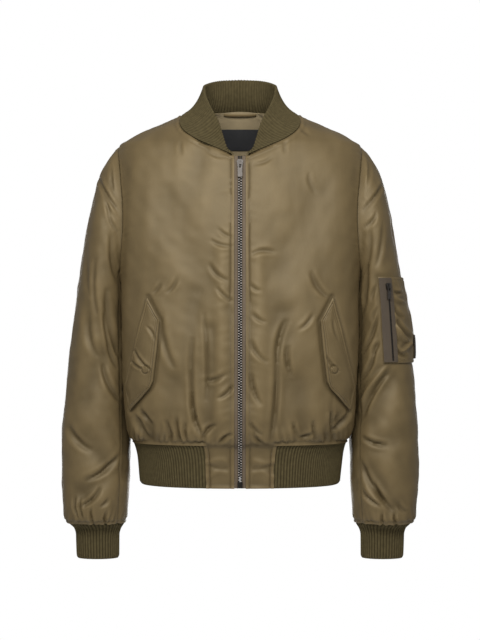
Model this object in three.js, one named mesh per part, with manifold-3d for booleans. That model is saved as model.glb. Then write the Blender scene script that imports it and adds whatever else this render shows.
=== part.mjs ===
// Bomber jacket, filled out as it is worn: shell panels, ribbed knit, front zip,
// slanted pocket flaps and a utility pocket on one sleeve.
// Millimetres, +Z up, fronts towards -Y, X to the right as seen from the front.
// The origin is level with the tops of the shoulder seams, midway between them.
import * as THREE from 'three';
import { mergeVertices } from 'three/addons/utils/BufferGeometryUtils.js';
import Module from 'manifold-3d';

// Cloth and seams
const SHELL_WALL = 3;
const KNIT_WALL = 4.2;
const LINING_WALL = 1.2;
const SEAM_GAP = 0.3;
const LAID_GAP = 1;
const RIB_HEIGHT = 1.4;

// Front zip
const ZIP_EDGE_X = 9.3;
const TAPE_EDGE_X = 8.8;
const TAPE_RECESS = 0.8;
const TAPE_WALL = 1.8;
const TAPE_INNER_X = 0.2;

// Grid of the panels
const FRONT_COLUMNS = 13;
const FRONT_COLUMN_POWER = 0.95;
const FRONT_ROW_POWER = 2.2;
const TAB_COLUMNS = 2;
const BACK_COLUMNS = 22;
const SLEEVE_COLUMNS = 18;
const UNDER_SLEEVE_FROM = 140;
const UNDER_SLEEVE_TO = 220;

// Knit: one rib is two columns of the wall's outer points
const HEM_RIBS = 192;
const HEM_INNER_COLUMNS = 40;
const CUFF_RIBS = 44;
const COLLAR_RIBS = 108;

// Heights of the front and back rows at their side edges
const HEM_Z = -549;
const UNDERARM_Z = -283;
const SHOULDER_Z = -46;
const NECK_SIDE_Z = 8;
const NECK_FRONT_Z = -70;
const NECK_BACK_Z = 22;
const TAB_ROWS = [-616, -576];
const SIDE_ROWS = [HEM_Z, -541, -520, -480, -435, -385, -335];
const SHOULDER_ROWS = [-34, -23.5, -13, -3, NECK_SIDE_Z];

// Armhole: how far it bites into the front and the back, in degrees round the body
const ARMHOLE = { front: 30, back: 32, roundness: 0.85 };

// The body's level sections: half width, reach to the front and to the back, depth of the
// hollow under each arm, and how square the section is (0 is an ellipse)
const BODY = [
  { z: -616, half: 168, front: 114, back: 108, hollow: 0, square: 0.05 },
  { z: -576, half: 171, front: 117, back: 110, hollow: 0, square: 0.05 },
  { z: HEM_Z, half: 178, front: 123, back: 116, hollow: 0, square: 0.06 },
  { z: -541, half: 188, front: 131, back: 124, hollow: 8, square: 0.07 },
  { z: -520, half: 198, front: 138, back: 130, hollow: 15, square: 0.08 },
  { z: -480, half: 203, front: 142, back: 133, hollow: 20, square: 0.09 },
  { z: -400, half: 207, front: 142, back: 131, hollow: 23, square: 0.1 },
  { z: -300, half: 209, front: 138, back: 127, hollow: 24, square: 0.1 },
  { z: -250, half: 212, front: 134, back: 124, hollow: 14, square: 0.1 },
  { z: -200, half: 216, front: 130, back: 122, hollow: 0, square: 0.1 },
  { z: -120, half: 217, front: 119, back: 116, hollow: 0, square: 0.1 },
  { z: -70, half: 213, front: 107, back: 109, hollow: 0, square: 0.09 },
  { z: -46, half: 205, front: 99, back: 103, hollow: 0, square: 0.08 },
  { z: -34, half: 188, front: 93, back: 98, hollow: 0, square: 0.06 },
  { z: -13, half: 143, front: 80, back: 88, hollow: 0, square: 0.04 },
  { z: NECK_SIDE_Z, half: 97, front: 64, back: 77, hollow: 0, square: 0.02 },
  { z: NECK_BACK_Z, half: 70, front: 58, back: 71, hollow: 0, square: 0 },
];
const HOLLOW_AT = 100;
const HOLLOW_SPREAD = 38;

// The sleeve's rings from the armhole to the cuff: the ring's inmost and outmost places seen
// from the front, the middle of its depth and half that depth
const SLEEVE = [
  { inX: 189, inZ: -283, outX: 205, outZ: -46, midY: 0, depth: 72 },
  { inX: 194, inZ: -280.5, outX: 215, outZ: -55, midY: 3, depth: 77 },
  { inX: 197.5, inZ: -282, outX: 226, outZ: -70, midY: 5, depth: 81 },
  { inX: 199, inZ: -286, outX: 236, outZ: -88, midY: 7, depth: 84 },
  { inX: 199, inZ: -292, outX: 244.5, outZ: -113, midY: 8, depth: 86 },
  { inX: 198, inZ: -301, outX: 252, outZ: -144, midY: 9, depth: 87 },
  { inX: 197, inZ: -313, outX: 259.5, outZ: -182, midY: 10, depth: 87 },
  { inX: 195.5, inZ: -329, outX: 267, outZ: -225, midY: 11, depth: 86 },
  { inX: 194, inZ: -351, outX: 274.5, outZ: -268, midY: 12, depth: 85 },
  { inX: 192, inZ: -381, outX: 281, outZ: -318, midY: 12, depth: 82 },
  { inX: 190.5, inZ: -415, outX: 288, outZ: -375, midY: 11, depth: 79 },
  { inX: 189, inZ: -452, outX: 294.5, outZ: -430, midY: 9, depth: 76 },
  { inX: 188, inZ: -490, outX: 298.5, outZ: -488, midY: 6, depth: 73 },
  { inX: 186.5, inZ: -535, outX: 301, outZ: -540, midY: 1, depth: 69 },
  { inX: 186, inZ: -580, outX: 302, outZ: -585, midY: -3, depth: 66 },
  { inX: 188, inZ: -622, outX: 301.5, outZ: -625, midY: -6, depth: 62 },
  { inX: 190.5, inZ: -655, outX: 299.5, outZ: -655, midY: -8, depth: 58 },
  { inX: 192.5, inZ: -675, outX: 297, outZ: -675, midY: -9, depth: 54 },
  { inX: 196.5, inZ: -684, outX: 288.5, outZ: -684, midY: -9, depth: 43 },
  { inX: 202, inZ: -690, outX: 280, outZ: -690, midY: -9, depth: 29 },
];
const SLEEVE_SQUARE = 0.03;

// The cuff's level sections
const CUFF = [
  { z: -690.3, mid: 241, half: 37, depth: 28 },
  { z: -701, mid: 241, half: 35, depth: 26 },
  { z: -742, mid: 240.5, half: 34.5, depth: 25.5 },
];
const CUFF_MID_Y = -9;
const CUFF_INNER_COLUMNS = 22;

// The collar's free edge, by degrees round the neck from the front
const COLLAR_EDGE = [
  { t: 0, x: 10.5, y: -102, z: -67 },
  { t: 6, x: 21, y: -93, z: -58 },
  { t: 10, x: 27, y: -86, z: -43 },
  { t: 15, x: 32, y: -79, z: -27 },
  { t: 22, x: 38, y: -70, z: -8 },
  { t: 30, x: 47, y: -60, z: 9 },
  { t: 45, x: 54, y: -45, z: 24 },
  { t: 65, x: 60, y: -26, z: 42 },
  { t: 90, x: 61.5, y: 2, z: 57 },
  { t: 120, x: 54, y: 33, z: 67 },
  { t: 150, x: 32, y: 54, z: 75 },
  { t: 180, x: 0, y: 60, z: 77.5 },
];
const COLLAR_HEIGHTS = [0, 0.3, 0.7, 1];
const COLLAR_HOLLOW = 7;
const COLLAR_LIFT = 0.6;

// The largest creases: the line each follows as seen from the front or the back, how far
// the trough spreads to each side and how deep it is (a ridge is below 0)
const FRONT_CREASES = [
  { x1: -75, z1: -320, x2: -76, z2: -505, spread: 16, depth: 6 },
  { x1: -48, z1: -356, x2: -50, z2: -515, spread: 13, depth: 5 },
  { x1: -160, z1: -506, x2: -148, z2: -538, spread: 14, depth: 6 },
  { x1: -106, z1: -440, x2: -112, z2: -530, spread: 17, depth: 4 },
  { x1: 69, z1: -342, x2: 64, z2: -510, spread: 16, depth: 6 },
  { x1: 96, z1: -440, x2: 104, z2: -530, spread: 17, depth: 5 },
  { x1: 164, z1: -508, x2: 150, z2: -535, spread: 14, depth: 6 },
  { x1: -118, z1: -150, x2: -62, z2: -270, spread: 30, depth: 4 },
  { x1: 124, z1: -128, x2: 70, z2: -260, spread: 30, depth: 4 },
  { x1: -30, z1: -230, x2: -34, z2: -500, spread: 12, depth: -3 },
  { x1: 30, z1: -240, x2: 33, z2: -500, spread: 12, depth: -3 },
];
const BACK_CREASES = [
  { x1: -60, z1: -300, x2: -66, z2: -505, spread: 18, depth: 6 },
  { x1: 24, z1: -340, x2: 18, z2: -510, spread: 16, depth: 5 },
  { x1: 88, z1: -320, x2: 98, z2: -505, spread: 18, depth: 6 },
  { x1: -150, z1: -190, x2: -60, z2: -300, spread: 24, depth: 5 },
  { x1: 150, z1: -180, x2: 62, z2: -290, spread: 24, depth: 5 },
];
const SLEEVE_CREASES = [
  { x1: -262, z1: -628, x2: -215, z2: -590, spread: 17, depth: 6 },
  { x1: -226, z1: -400, x2: -262, z2: -470, spread: 20, depth: 5 },
  { x1: -262, z1: -540, x2: -222, z2: -575, spread: 18, depth: 5 },
  { x1: 214, z1: -590, x2: 255, z2: -650, spread: 17, depth: 6 },
  { x1: 252, z1: -440, x2: 215, z2: -500, spread: 20, depth: 6 },
  { x1: 270, z1: -530, x2: 222, z2: -552, spread: 17, depth: 4 },
];
const GATHER = { bodyDepth: 2.2, bodyFrom: -545, bodyTo: -500, sleeveDepth: 2.2, sleeveFrom: 15.5 };

// Slanted flaps: the edge towards the side seam and the edge towards the zip, top to bottom
const FLAP_EDGES = [
  { outX: 151, outZ: -302, inX: 130.5, inZ: -341 },
  { outX: 163, outZ: -345, inX: 132.5, inZ: -366 },
  { outX: 174, outZ: -390, inX: 135, inZ: -392 },
  { outX: 184, outZ: -430, inX: 138, inZ: -417 },
  { outX: 189, outZ: -452, inX: 141, inZ: -440 },
  { outX: 180, outZ: -489, inX: 146, inZ: -451 },
];
const FLAP_COLUMNS = 4;
const FLAP_WALL = 2.4;
const FLAP_FREE_GAP = 2;
const SNAP = { x: 152, z: -421, radius: 5.2, height: 2 };

// Utility pocket, by degrees round the sleeve from its outer edge (front is below 0) and by height.
// Its zip tape runs along its front edge, and the pen slot lies on its outer side.
const POCKET = { fromTop: -93, fromFoot: -92, toTop: 14, toFoot: 20, top: -268.5, foot: -412 };
const POCKET_WALL = 2.4;
const POCKET_BULGE = 5;
const POCKET_COLUMNS = 9;
const POCKET_ROWS = 6;
const POCKET_ZIP = { fromTop: -92, fromFoot: -91, toTop: -67, toFoot: -68, top: -270, foot: -410 };
const POCKET_ZIP_COLUMNS = 4;
const PEN_SLOT = { fromTop: -20, fromFoot: -20, toTop: 14, toFoot: 14, top: -366, foot: -406 };
const PEN_SLOT_WALL = 2.4;

// Neck: rows and columns of the back that the lining covers, the label and the hanger loop
const LINING = { fromColumn: 3, toColumn: 19, rowsDown: 8 };
const LABEL = { half: 33, top: -5, foot: -43, wall: 1, columns: 6 };
const LOOP = { half: 30, z: 17, width: 6, wall: 1.5, stand: 8, columns: 10 };

// Zip hardware: the slider's body and its bridge, the pull tab and the box at the foot
const SLIDER = { width: 11, height: 12.5, thick: 4, z: -84, stand: 0.6 };
const BRIDGE = { width: 2.6, height: 8.4, out: 3.8, bar: 1.2 };
const PULL = { width: 7.4, length: 24, thick: 1.6, bar: 1.4, leg: 1.9, window: 7.4 };
const ZIP_BOX = { width: 8.5, height: 10, thick: 4, stand: 0.5 };
const POCKET_SLIDER = { turn: -76.3, z: -284, stand: 0.6 };
const POCKET_HARDWARE = 0.85;

// Colours and finishes
function cloth(color, roughness) {
  return () => new THREE.MeshStandardMaterial({ color, roughness, metalness: 0 });
}
const SHELL = cloth(0x74644a, 0.55);
const KNIT = cloth(0x4f4632, 0.95);
const LINED = cloth(0x766950, 0.6);
const LABEL_CLOTH = cloth(0x2a2a2b, 0.8);
const TAPE = cloth(0x5b4f41, 0.85);
const METAL = () => new THREE.MeshStandardMaterial({ color: 0x8a817c, roughness: 0.35, metalness: 1 });

const jacket = new THREE.Group();

// Number helpers
const radians = THREE.MathUtils.degToRad;
const mix = THREE.MathUtils.lerp;
const clamp = THREE.MathUtils.clamp;
const smooth = THREE.MathUtils.smoothstep;
const range = (count) => Array.from({ length: count }, (_, i) => i);

// A table read as smooth curves that never swing past its rows
function tableCurve(rows, key) {
  const names = Object.keys(rows[0]).filter((name) => name !== key);
  const rise = (name, i) => (rows[i + 1][name] - rows[i][name]) / (rows[i + 1][key] - rows[i][key]);
  function slope(name, i) {
    if (i === 0) return rise(name, 0);
    if (i === rows.length - 1) return rise(name, rows.length - 2);
    const before = rise(name, i - 1);
    const after = rise(name, i);
    return before * after <= 0 ? 0 : (2 * before * after) / (before + after);
  }
  return (value) => {
    const last = rows.length - 2;
    const at = clamp(rows.findIndex((row) => row[key] > value) - 1, 0, last);
    const i = value >= rows[rows.length - 1][key] ? last : at;
    const span = rows[i + 1][key] - rows[i][key];
    const s = clamp((value - rows[i][key]) / span, 0, 1);
    const result = {};
    for (const name of names) {
      const a = rows[i][name];
      const b = rows[i + 1][name];
      const start = slope(name, i) * span - (b - a);
      const end = b - a - slope(name, i + 1) * span;
      result[name] = mix(a, b, s) + s * (1 - s) * mix(start, end, s);
    }
    return result;
  };
}

// How deep a table's creases press the cloth in at a place
function creaseDepth(creases, x, z) {
  let depth = 0;
  for (const crease of creases) {
    const dx = crease.x2 - crease.x1;
    const dz = crease.z2 - crease.z1;
    const s = clamp(((x - crease.x1) * dx + (z - crease.z1) * dz) / (dx * dx + dz * dz), 0, 1);
    const away = Math.hypot(x - crease.x1 - s * dx, z - crease.z1 - s * dz);
    depth += crease.depth * Math.exp(-((away / crease.spread) ** 2));
  }
  return depth;
}

// Body surface: t is degrees round the body, 0 at the zip, 90 at the right side, 180 at the back
const bodySection = tableCurve(BODY, 'z');

function bodyBase(t, z) {
  const side = t > 180 ? -1 : 1;
  const turn = t > 180 ? 360 - t : t;
  const section = bodySection(z);
  const angle = radians(turn);
  const shift = section.square * Math.sin(2 * angle);
  const nearness = Math.max(0, 1 - Math.abs(turn - HOLLOW_AT) / HOLLOW_SPREAD);
  const hollow = section.hollow * Math.sin((nearness * Math.PI) / 2) ** 2;
  const reach = turn < 90 ? section.front : section.back;
  const x = section.half * Math.sin(angle + shift) - hollow;
  return new THREE.Vector3(side * x, -reach * Math.cos(angle - shift), z);
}

function bodyNormal(t, z) {
  const round = bodyBase(t + 0.5, z).sub(bodyBase(t - 0.5, z));
  const up = bodyBase(t, z + 1).sub(bodyBase(t, z - 1));
  const normal = round.cross(up);
  if (z <= HEM_Z) normal.z = 0;
  return normal.normalize();
}

// The same surface at a place seen from the front: x is solved for t
function bodyTurnAt(x, z) {
  let low = 0;
  let high = 90;
  for (let step = 0; step < 40; step += 1) {
    const middle = (low + high) / 2;
    if (bodyBase(middle, z).x < x) low = middle;
    else high = middle;
  }
  return (low + high) / 2;
}

// The gathers that a ribbed edge draws into the cloth, one trough at every second column
function gatherDepth(column, z) {
  if (z <= HEM_Z || z > GATHER.bodyTo) return 0;
  const height = smooth(z, HEM_Z, GATHER.bodyFrom) * (1 - smooth(z, GATHER.bodyFrom, GATHER.bodyTo));
  return (column % 2 ? 1 : -1) * GATHER.bodyDepth * height;
}

// Armhole edge by degrees round the sleeve: 0 at the shoulder, 90 at the back, 180 under the arm
function armhole(turn) {
  const angle = radians(turn);
  const middle = (SHOULDER_Z + UNDERARM_Z) / 2;
  const z = middle + ((SHOULDER_Z - UNDERARM_Z) / 2) * Math.cos(angle);
  const sideways = Math.sin(angle);
  const bite = (sideways > 0 ? ARMHOLE.back : ARMHOLE.front) * Math.abs(sideways) ** ARMHOLE.roundness;
  return { t: 90 + Math.sign(sideways) * bite, z };
}

// Triangles of a wall: outer and inner grids of points, and rims where a kept cell has no neighbour
function wallTriangles(outer, inner, keep = () => true, wrap = false) {
  const rows = outer.length - 1;
  const columns = wrap ? outer[0].length : outer[0].length - 1;
  const triangles = [];
  const next = (j) => (j + 1) % outer[0].length;
  const kept = (i, j) => {
    if (i < 0 || i >= rows) return false;
    if (wrap) return keep(i, (j + columns) % columns);
    return j >= 0 && j < columns && keep(i, j);
  };
  const rim = (a, b, c, d) => triangles.push([b, a, c], [b, c, d]);
  for (let i = 0; i < rows; i += 1) {
    for (let j = 0; j < columns; j += 1) {
      if (!kept(i, j)) continue;
      const n = next(j);
      triangles.push([outer[i][j], outer[i][n], outer[i + 1][n]]);
      triangles.push([outer[i][j], outer[i + 1][n], outer[i + 1][j]]);
      triangles.push([inner[i][j], inner[i + 1][n], inner[i][n]]);
      triangles.push([inner[i][j], inner[i + 1][j], inner[i + 1][n]]);
      if (!kept(i - 1, j)) rim(outer[i][j], outer[i][n], inner[i][j], inner[i][n]);
      if (!kept(i, j + 1)) rim(outer[i][n], outer[i + 1][n], inner[i][n], inner[i + 1][n]);
      if (!kept(i + 1, j)) rim(outer[i + 1][n], outer[i + 1][j], inner[i + 1][n], inner[i + 1][j]);
      if (!kept(i, j - 1)) rim(outer[i + 1][j], outer[i][j], inner[i + 1][j], inner[i][j]);
    }
  }
  return triangles;
}

// Triangles between two lines of unlike numbers of points; shares say how far along each point is
const evenShares = (line) => line.map((_, i) => i / (line.length - 1));

function zipTriangles(outerLine, innerLine, shares) {
  const [outerShares, innerShares] = shares || [evenShares(outerLine), evenShares(innerLine)];
  const triangles = [];
  const outerLast = outerLine.length - 1;
  const innerLast = innerLine.length - 1;
  let a = 0;
  let b = 0;
  while (a < outerLast || b < innerLast) {
    const outerNext = b >= innerLast || (a < outerLast && outerShares[a + 1] <= innerShares[b + 1] + 1e-9);
    if (outerNext) {
      triangles.push([outerLine[a + 1], outerLine[a], innerLine[b]]);
      a += 1;
    } else {
      triangles.push([outerLine[a], innerLine[b], innerLine[b + 1]]);
      b += 1;
    }
  }
  return triangles;
}

// Ribbed wall: many columns outside, few inside, with the same rows
function ribbedTriangles(outer, inner, wrap, shares) {
  const triangles = [];
  const closed = (row) => (wrap ? [...row, row[0]] : row);
  const flip = ([a, b, c]) => [a, c, b];
  const skin = (grid) => {
    const faces = [];
    for (let i = 0; i < grid.length - 1; i += 1) {
      const low = closed(grid[i]);
      const high = closed(grid[i + 1]);
      for (let j = 0; j < low.length - 1; j += 1) {
        faces.push([low[j], low[j + 1], high[j + 1]], [low[j], high[j + 1], high[j]]);
      }
    }
    return faces;
  };
  triangles.push(...skin(outer), ...skin(inner).map(flip));
  triangles.push(...zipTriangles(closed(outer[0]), closed(inner[0]), shares));
  const top = outer.length - 1;
  triangles.push(...zipTriangles(closed(outer[top]), closed(inner[top]), shares).map(flip));
  if (!wrap) {
    const last = (row) => row[row.length - 1];
    triangles.push(...zipTriangles(outer.map(last), inner.map(last)));
    triangles.push(...zipTriangles(outer.map((row) => row[0]), inner.map((row) => row[0])).map(flip));
  }
  return triangles;
}

// A named piece from its triangles, turned so that the faces point out
function addPiece(name, material, triangles) {
  let volume = 0;
  for (const [a, b, c] of triangles) volume += a.dot(new THREE.Vector3().crossVectors(b, c));
  const positions = [];
  for (const [a, b, c] of triangles) {
    for (const point of volume > 0 ? [a, b, c] : [a, c, b]) positions.push(point.x, point.y, point.z);
  }
  const geometry = new THREE.BufferGeometry();
  geometry.setAttribute('position', new THREE.Float32BufferAttribute(positions, 3));
  geometry.computeVertexNormals();
  const mesh = new THREE.Mesh(geometry, material());
  mesh.name = name;
  jacket.add(mesh);
  return mesh;
}

function mirrored(triangles) {
  const flip = (point) => new THREE.Vector3(-point.x, point.y, point.z);
  return triangles.map((triangle) => triangle.map(flip));
}

const moved = (grid, normals, distance) =>
  grid.map((row, i) => row.map((point, j) => point.clone().addScaledVector(normals[i][j], distance)));

// Rows of the panels: the height and the turn at the side edge, from the hem to the neck
function sideEdge(front) {
  const half = SLEEVE_COLUMNS / 2;
  const step = 360 / SLEEVE_COLUMNS;
  const edge = SIDE_ROWS.map((z) => ({ t: 90, z }));
  for (const i of range(half + 1)) {
    const place = armhole(front ? 180 + i * step : 180 - i * step);
    edge.push(place);
  }
  return [...edge, ...SHOULDER_ROWS.map((z) => ({ t: 90, z }))];
}

// Front panel of one side, with the square tab beside the zip cut in one with it
function frontGrid(side) {
  const heightShare = (z) => (z - HEM_Z) / (NECK_SIDE_Z - HEM_Z);
  const tab = TAB_ROWS.map((z) => ({ t: 90, z, zipZ: z }));
  const zipHeight = (z) => mix(HEM_Z, NECK_FRONT_Z, heightShare(z));
  const main = sideEdge(true).map((place) => ({ ...place, zipZ: zipHeight(place.z) }));
  const rows = [...tab, ...main];
  const points = [];
  const normals = [];
  const places = [];
  for (const row of rows) {
    const line = range(FRONT_COLUMNS + 1).map((j) => {
      const share = (j / FRONT_COLUMNS) ** FRONT_COLUMN_POWER;
      const z = row.z - (row.z - row.zipZ) * (1 - share) ** FRONT_ROW_POWER;
      const t = mix(bodyTurnAt(ZIP_EDGE_X, z), row.t, share);
      return { t, z, column: j };
    });
    places.push(line);
    normals.push(line.map(({ t, z }) => bodyNormal(t, z)));
    points.push(line.map(({ t, z, column }) => frontPoint(side, t, z, column)));
  }
  return { points, normals, places };
}

// A place on the front of one side, made on the right and creased as that side is
function frontPoint(side, t, z, column) {
  const base = bodyBase(t, z);
  const fade = (1 - smooth(base.x, 160, 192)) * smooth(z, HEM_Z, HEM_Z + 8);
  const creases = creaseDepth(FRONT_CREASES, side * base.x, z) * fade;
  const inside = column > 0 && column < FRONT_COLUMNS ? gatherDepth(column, z) : 0;
  return base.addScaledVector(bodyNormal(t, z), -creases - inside);
}

function addFront(name, side) {
  const { points, normals } = frontGrid(side);
  const keep = (i, j) => i >= TAB_ROWS.length || j < TAB_COLUMNS;
  const triangles = wallTriangles(points, moved(points, normals, -SHELL_WALL), keep);
  addPiece(name, SHELL, side > 0 ? triangles : mirrored(triangles));
}

// Back panel, from the right side seam round to the left one
function backGrid() {
  const heightShare = (z) => (z - HEM_Z) / (NECK_SIDE_Z - HEM_Z);
  const points = [];
  const normals = [];
  for (const row of sideEdge(false)) {
    const middleZ = mix(HEM_Z, NECK_BACK_Z, heightShare(row.z));
    const line = range(BACK_COLUMNS + 1).map((j) => {
      const share = (2 * j) / BACK_COLUMNS - 1;
      const t = 180 + share * (180 - row.t);
      const z = mix(middleZ, row.z, share * share);
      return { t, z, column: j };
    });
    normals.push(line.map(({ t, z }) => bodyNormal(t, z)));
    points.push(line.map(({ t, z, column }) => {
      const base = bodyBase(t, z);
      const fade = (1 - smooth(Math.abs(base.x), 160, 192)) * smooth(z, HEM_Z, HEM_Z + 8);
      const creases = creaseDepth(BACK_CREASES, base.x, z) * fade;
      const inside = column > 0 && column < BACK_COLUMNS ? gatherDepth(column, z) : 0;
      return base.addScaledVector(bodyNormal(t, z), -creases - inside);
    }));
  }
  return { points, normals };
}

// Moves a grid's first and last columns a seam's width towards its middle
function trimSides(points, width) {
  for (const row of points) {
    const last = row.length - 1;
    const first = row[1].clone().sub(row[0]).setLength(width);
    const end = row[last - 1].clone().sub(row[last]).setLength(width);
    row[0].add(first);
    row[last].add(end);
  }
}

function addBack(grid) {
  const trimmed = grid.points.map((row) => row.map((point) => point.clone()));
  trimSides(trimmed, SEAM_GAP);
  addPiece('back', SHELL, wallTriangles(trimmed, moved(trimmed, grid.normals, -SHELL_WALL)));
}

// Sleeve of the right side. A ring may be a fraction, for what lies on the sleeve.
const sleeveSection = tableCurve(SLEEVE.map((row, ring) => ({ ring, ...row })), 'ring');

function sleeveBase(turn, ring) {
  const section = sleeveSection(ring);
  const angle = radians(turn);
  const shift = SLEEVE_SQUARE * Math.sin(2 * angle);
  const out = Math.cos(angle - shift);
  const x = (section.inX + section.outX) / 2 + ((section.outX - section.inX) / 2) * out;
  const z = (section.inZ + section.outZ) / 2 + ((section.outZ - section.inZ) / 2) * out;
  return new THREE.Vector3(x, section.midY + section.depth * Math.sin(angle + shift), z);
}

function sleeveNormal(turn, ring) {
  const around = sleeveBase(turn + 2, ring).sub(sleeveBase(turn - 2, ring));
  const low = Math.max(0.5, ring - 0.25);
  const high = Math.min(SLEEVE.length - 1, ring + 0.25);
  const down = sleeveBase(turn, high).sub(sleeveBase(turn, low));
  const normal = down.cross(around);
  if (ring >= SLEEVE.length - 1) normal.z = 0;
  return normal.normalize();
}

function sleevePoint(side, turn, ring) {
  const base = sleeveBase(turn, ring);
  const facing = smooth(-Math.sin(radians(turn)), -0.1, 0.6);
  const depth = creaseDepth(SLEEVE_CREASES, side * base.x, base.z) * facing;
  return base.addScaledVector(sleeveNormal(turn, ring), -depth);
}

// The sleeve's first ring is the armhole's edge, a seam's width away from the body
function armholeRing() {
  const step = 360 / SLEEVE_COLUMNS;
  const at = (turn) => {
    const place = armhole(turn);
    return bodyBase(place.t, place.z);
  };
  return range(SLEEVE_COLUMNS).map((j) => {
    const place = armhole(j * step);
    const normal = bodyNormal(place.t, place.z);
    const along = at((j + 1) * step).sub(at((j - 1) * step));
    const away = along.cross(normal).normalize();
    return { point: at(j * step).addScaledVector(away, SEAM_GAP), normal };
  });
}

function sleeveGrid(side) {
  const step = 360 / SLEEVE_COLUMNS;
  const first = armholeRing();
  const points = [first.map(({ point }) => point)];
  const normals = [first.map(({ normal }) => normal)];
  for (let ring = 1; ring < SLEEVE.length; ring += 1) {
    const gather = ring > GATHER.sleeveFrom && ring < SLEEVE.length - 1 ? GATHER.sleeveDepth : 0;
    const normalRow = range(SLEEVE_COLUMNS).map((j) => sleeveNormal(j * step, ring));
    normals.push(normalRow);
    points.push(range(SLEEVE_COLUMNS).map((j) => {
      const wave = (j % 2 ? -1 : 1) * gather;
      return sleevePoint(side, j * step, ring).addScaledVector(normalRow[j], wave);
    }));
  }
  return { points, normals };
}

function addSleeve(sideName, side) {
  const { points, normals } = sleeveGrid(side);
  const step = 360 / SLEEVE_COLUMNS;
  const fromColumn = UNDER_SLEEVE_FROM / step;
  const toColumn = UNDER_SLEEVE_TO / step;
  const upperColumns = [...range(SLEEVE_COLUMNS).slice(toColumn), ...range(fromColumn + 1)];
  const underColumns = range(SLEEVE_COLUMNS).slice(fromColumn, toColumn + 1);
  const pieces = [['upper_sleeve_', upperColumns, 2 * SEAM_GAP], ['under_sleeve_', underColumns, 0]];
  for (const [name, columns, trim] of pieces) {
    const outer = points.map((row) => columns.map((j) => row[j].clone()));
    const facing = normals.map((row) => columns.map((j) => row[j]));
    if (trim) trimSides(outer, trim);
    const triangles = wallTriangles(outer, moved(outer, facing, -SHELL_WALL));
    addPiece(name + sideName, SHELL, side > 0 ? triangles : mirrored(triangles));
  }
}

// Cuff: a ribbed tube, with the ribs raised over a plain inside
function addCuff(name, side) {
  const ring = (section, turn, out) => {
    const angle = radians(turn);
    const x = section.mid + (section.half + out) * Math.cos(angle);
    return new THREE.Vector3(x, CUFF_MID_Y + (section.depth + out) * Math.sin(angle), section.z);
  };
  const rib = (j) => (j % 2 ? RIB_HEIGHT : 0);
  const plain = () => RIB_HEIGHT - KNIT_WALL;
  const grid = (columns, out) =>
    CUFF.map((section) => range(columns).map((j) => ring(section, (j * 360) / columns, out(j))));
  const triangles = ribbedTriangles(grid(CUFF_RIBS * 2, rib), grid(CUFF_INNER_COLUMNS, plain), true);
  addPiece(name, KNIT, side > 0 ? triangles : mirrored(triangles));
}

// Hem band, from the tab on the right round the back to the tab on the left
function addHemRib() {
  const rows = [...TAB_ROWS, HEM_Z - SEAM_GAP];
  const share = (TAB_COLUMNS / FRONT_COLUMNS) ** FRONT_COLUMN_POWER;
  const line = (z, columns, out) => {
    const start = mix(bodyTurnAt(ZIP_EDGE_X, z), 90, share);
    const section = bodySection(z);
    const from = start + THREE.MathUtils.radToDeg((2 * SEAM_GAP) / section.front);
    return range(columns + 1).map((j) => {
      const t = mix(from, 360 - from, j / columns);
      const normal = bodyNormal(t, z);
      normal.z = 0;
      return bodyBase(t, z).addScaledVector(normal.normalize(), out(j));
    });
  };
  const columns = HEM_RIBS * 2;
  const outer = rows.map((z) => line(z, columns, (j) => (j % 2 ? RIB_HEIGHT : 0)));
  const inner = rows.map((z) => line(z, HEM_INNER_COLUMNS, () => -KNIT_WALL + RIB_HEIGHT));
  addPiece('hem_rib', KNIT, ribbedTriangles(outer, inner, false));
}

// Neckline as the panels leave it: its points, the panels' normals there and the turn of each
function neckline(rightGrid, leftGrid, backPanel) {
  const line = [];
  const frontRow = (grid, side) => {
    const top = grid.points.length - 1;
    const turned = (vector) => new THREE.Vector3(side * vector.x, vector.y, vector.z);
    return grid.points[top].map((point, j) => {
      const { t } = grid.places[top][j];
      return { point: turned(point), normal: turned(grid.normals[top][j]), t: side > 0 ? t : 360 - t };
    });
  };
  line.push(...frontRow(rightGrid, 1));
  const last = backPanel.points.length - 1;
  for (const j of range(BACK_COLUMNS - 1).map((step) => step + 1)) {
    const t = 90 + (180 * j) / BACK_COLUMNS;
    line.push({ point: backPanel.points[last][j], normal: backPanel.normals[last][j], t });
  }
  line.push(...frontRow(leftGrid, -1).reverse());
  return line;
}

const collarEdge = tableCurve(COLLAR_EDGE, 't');

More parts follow.
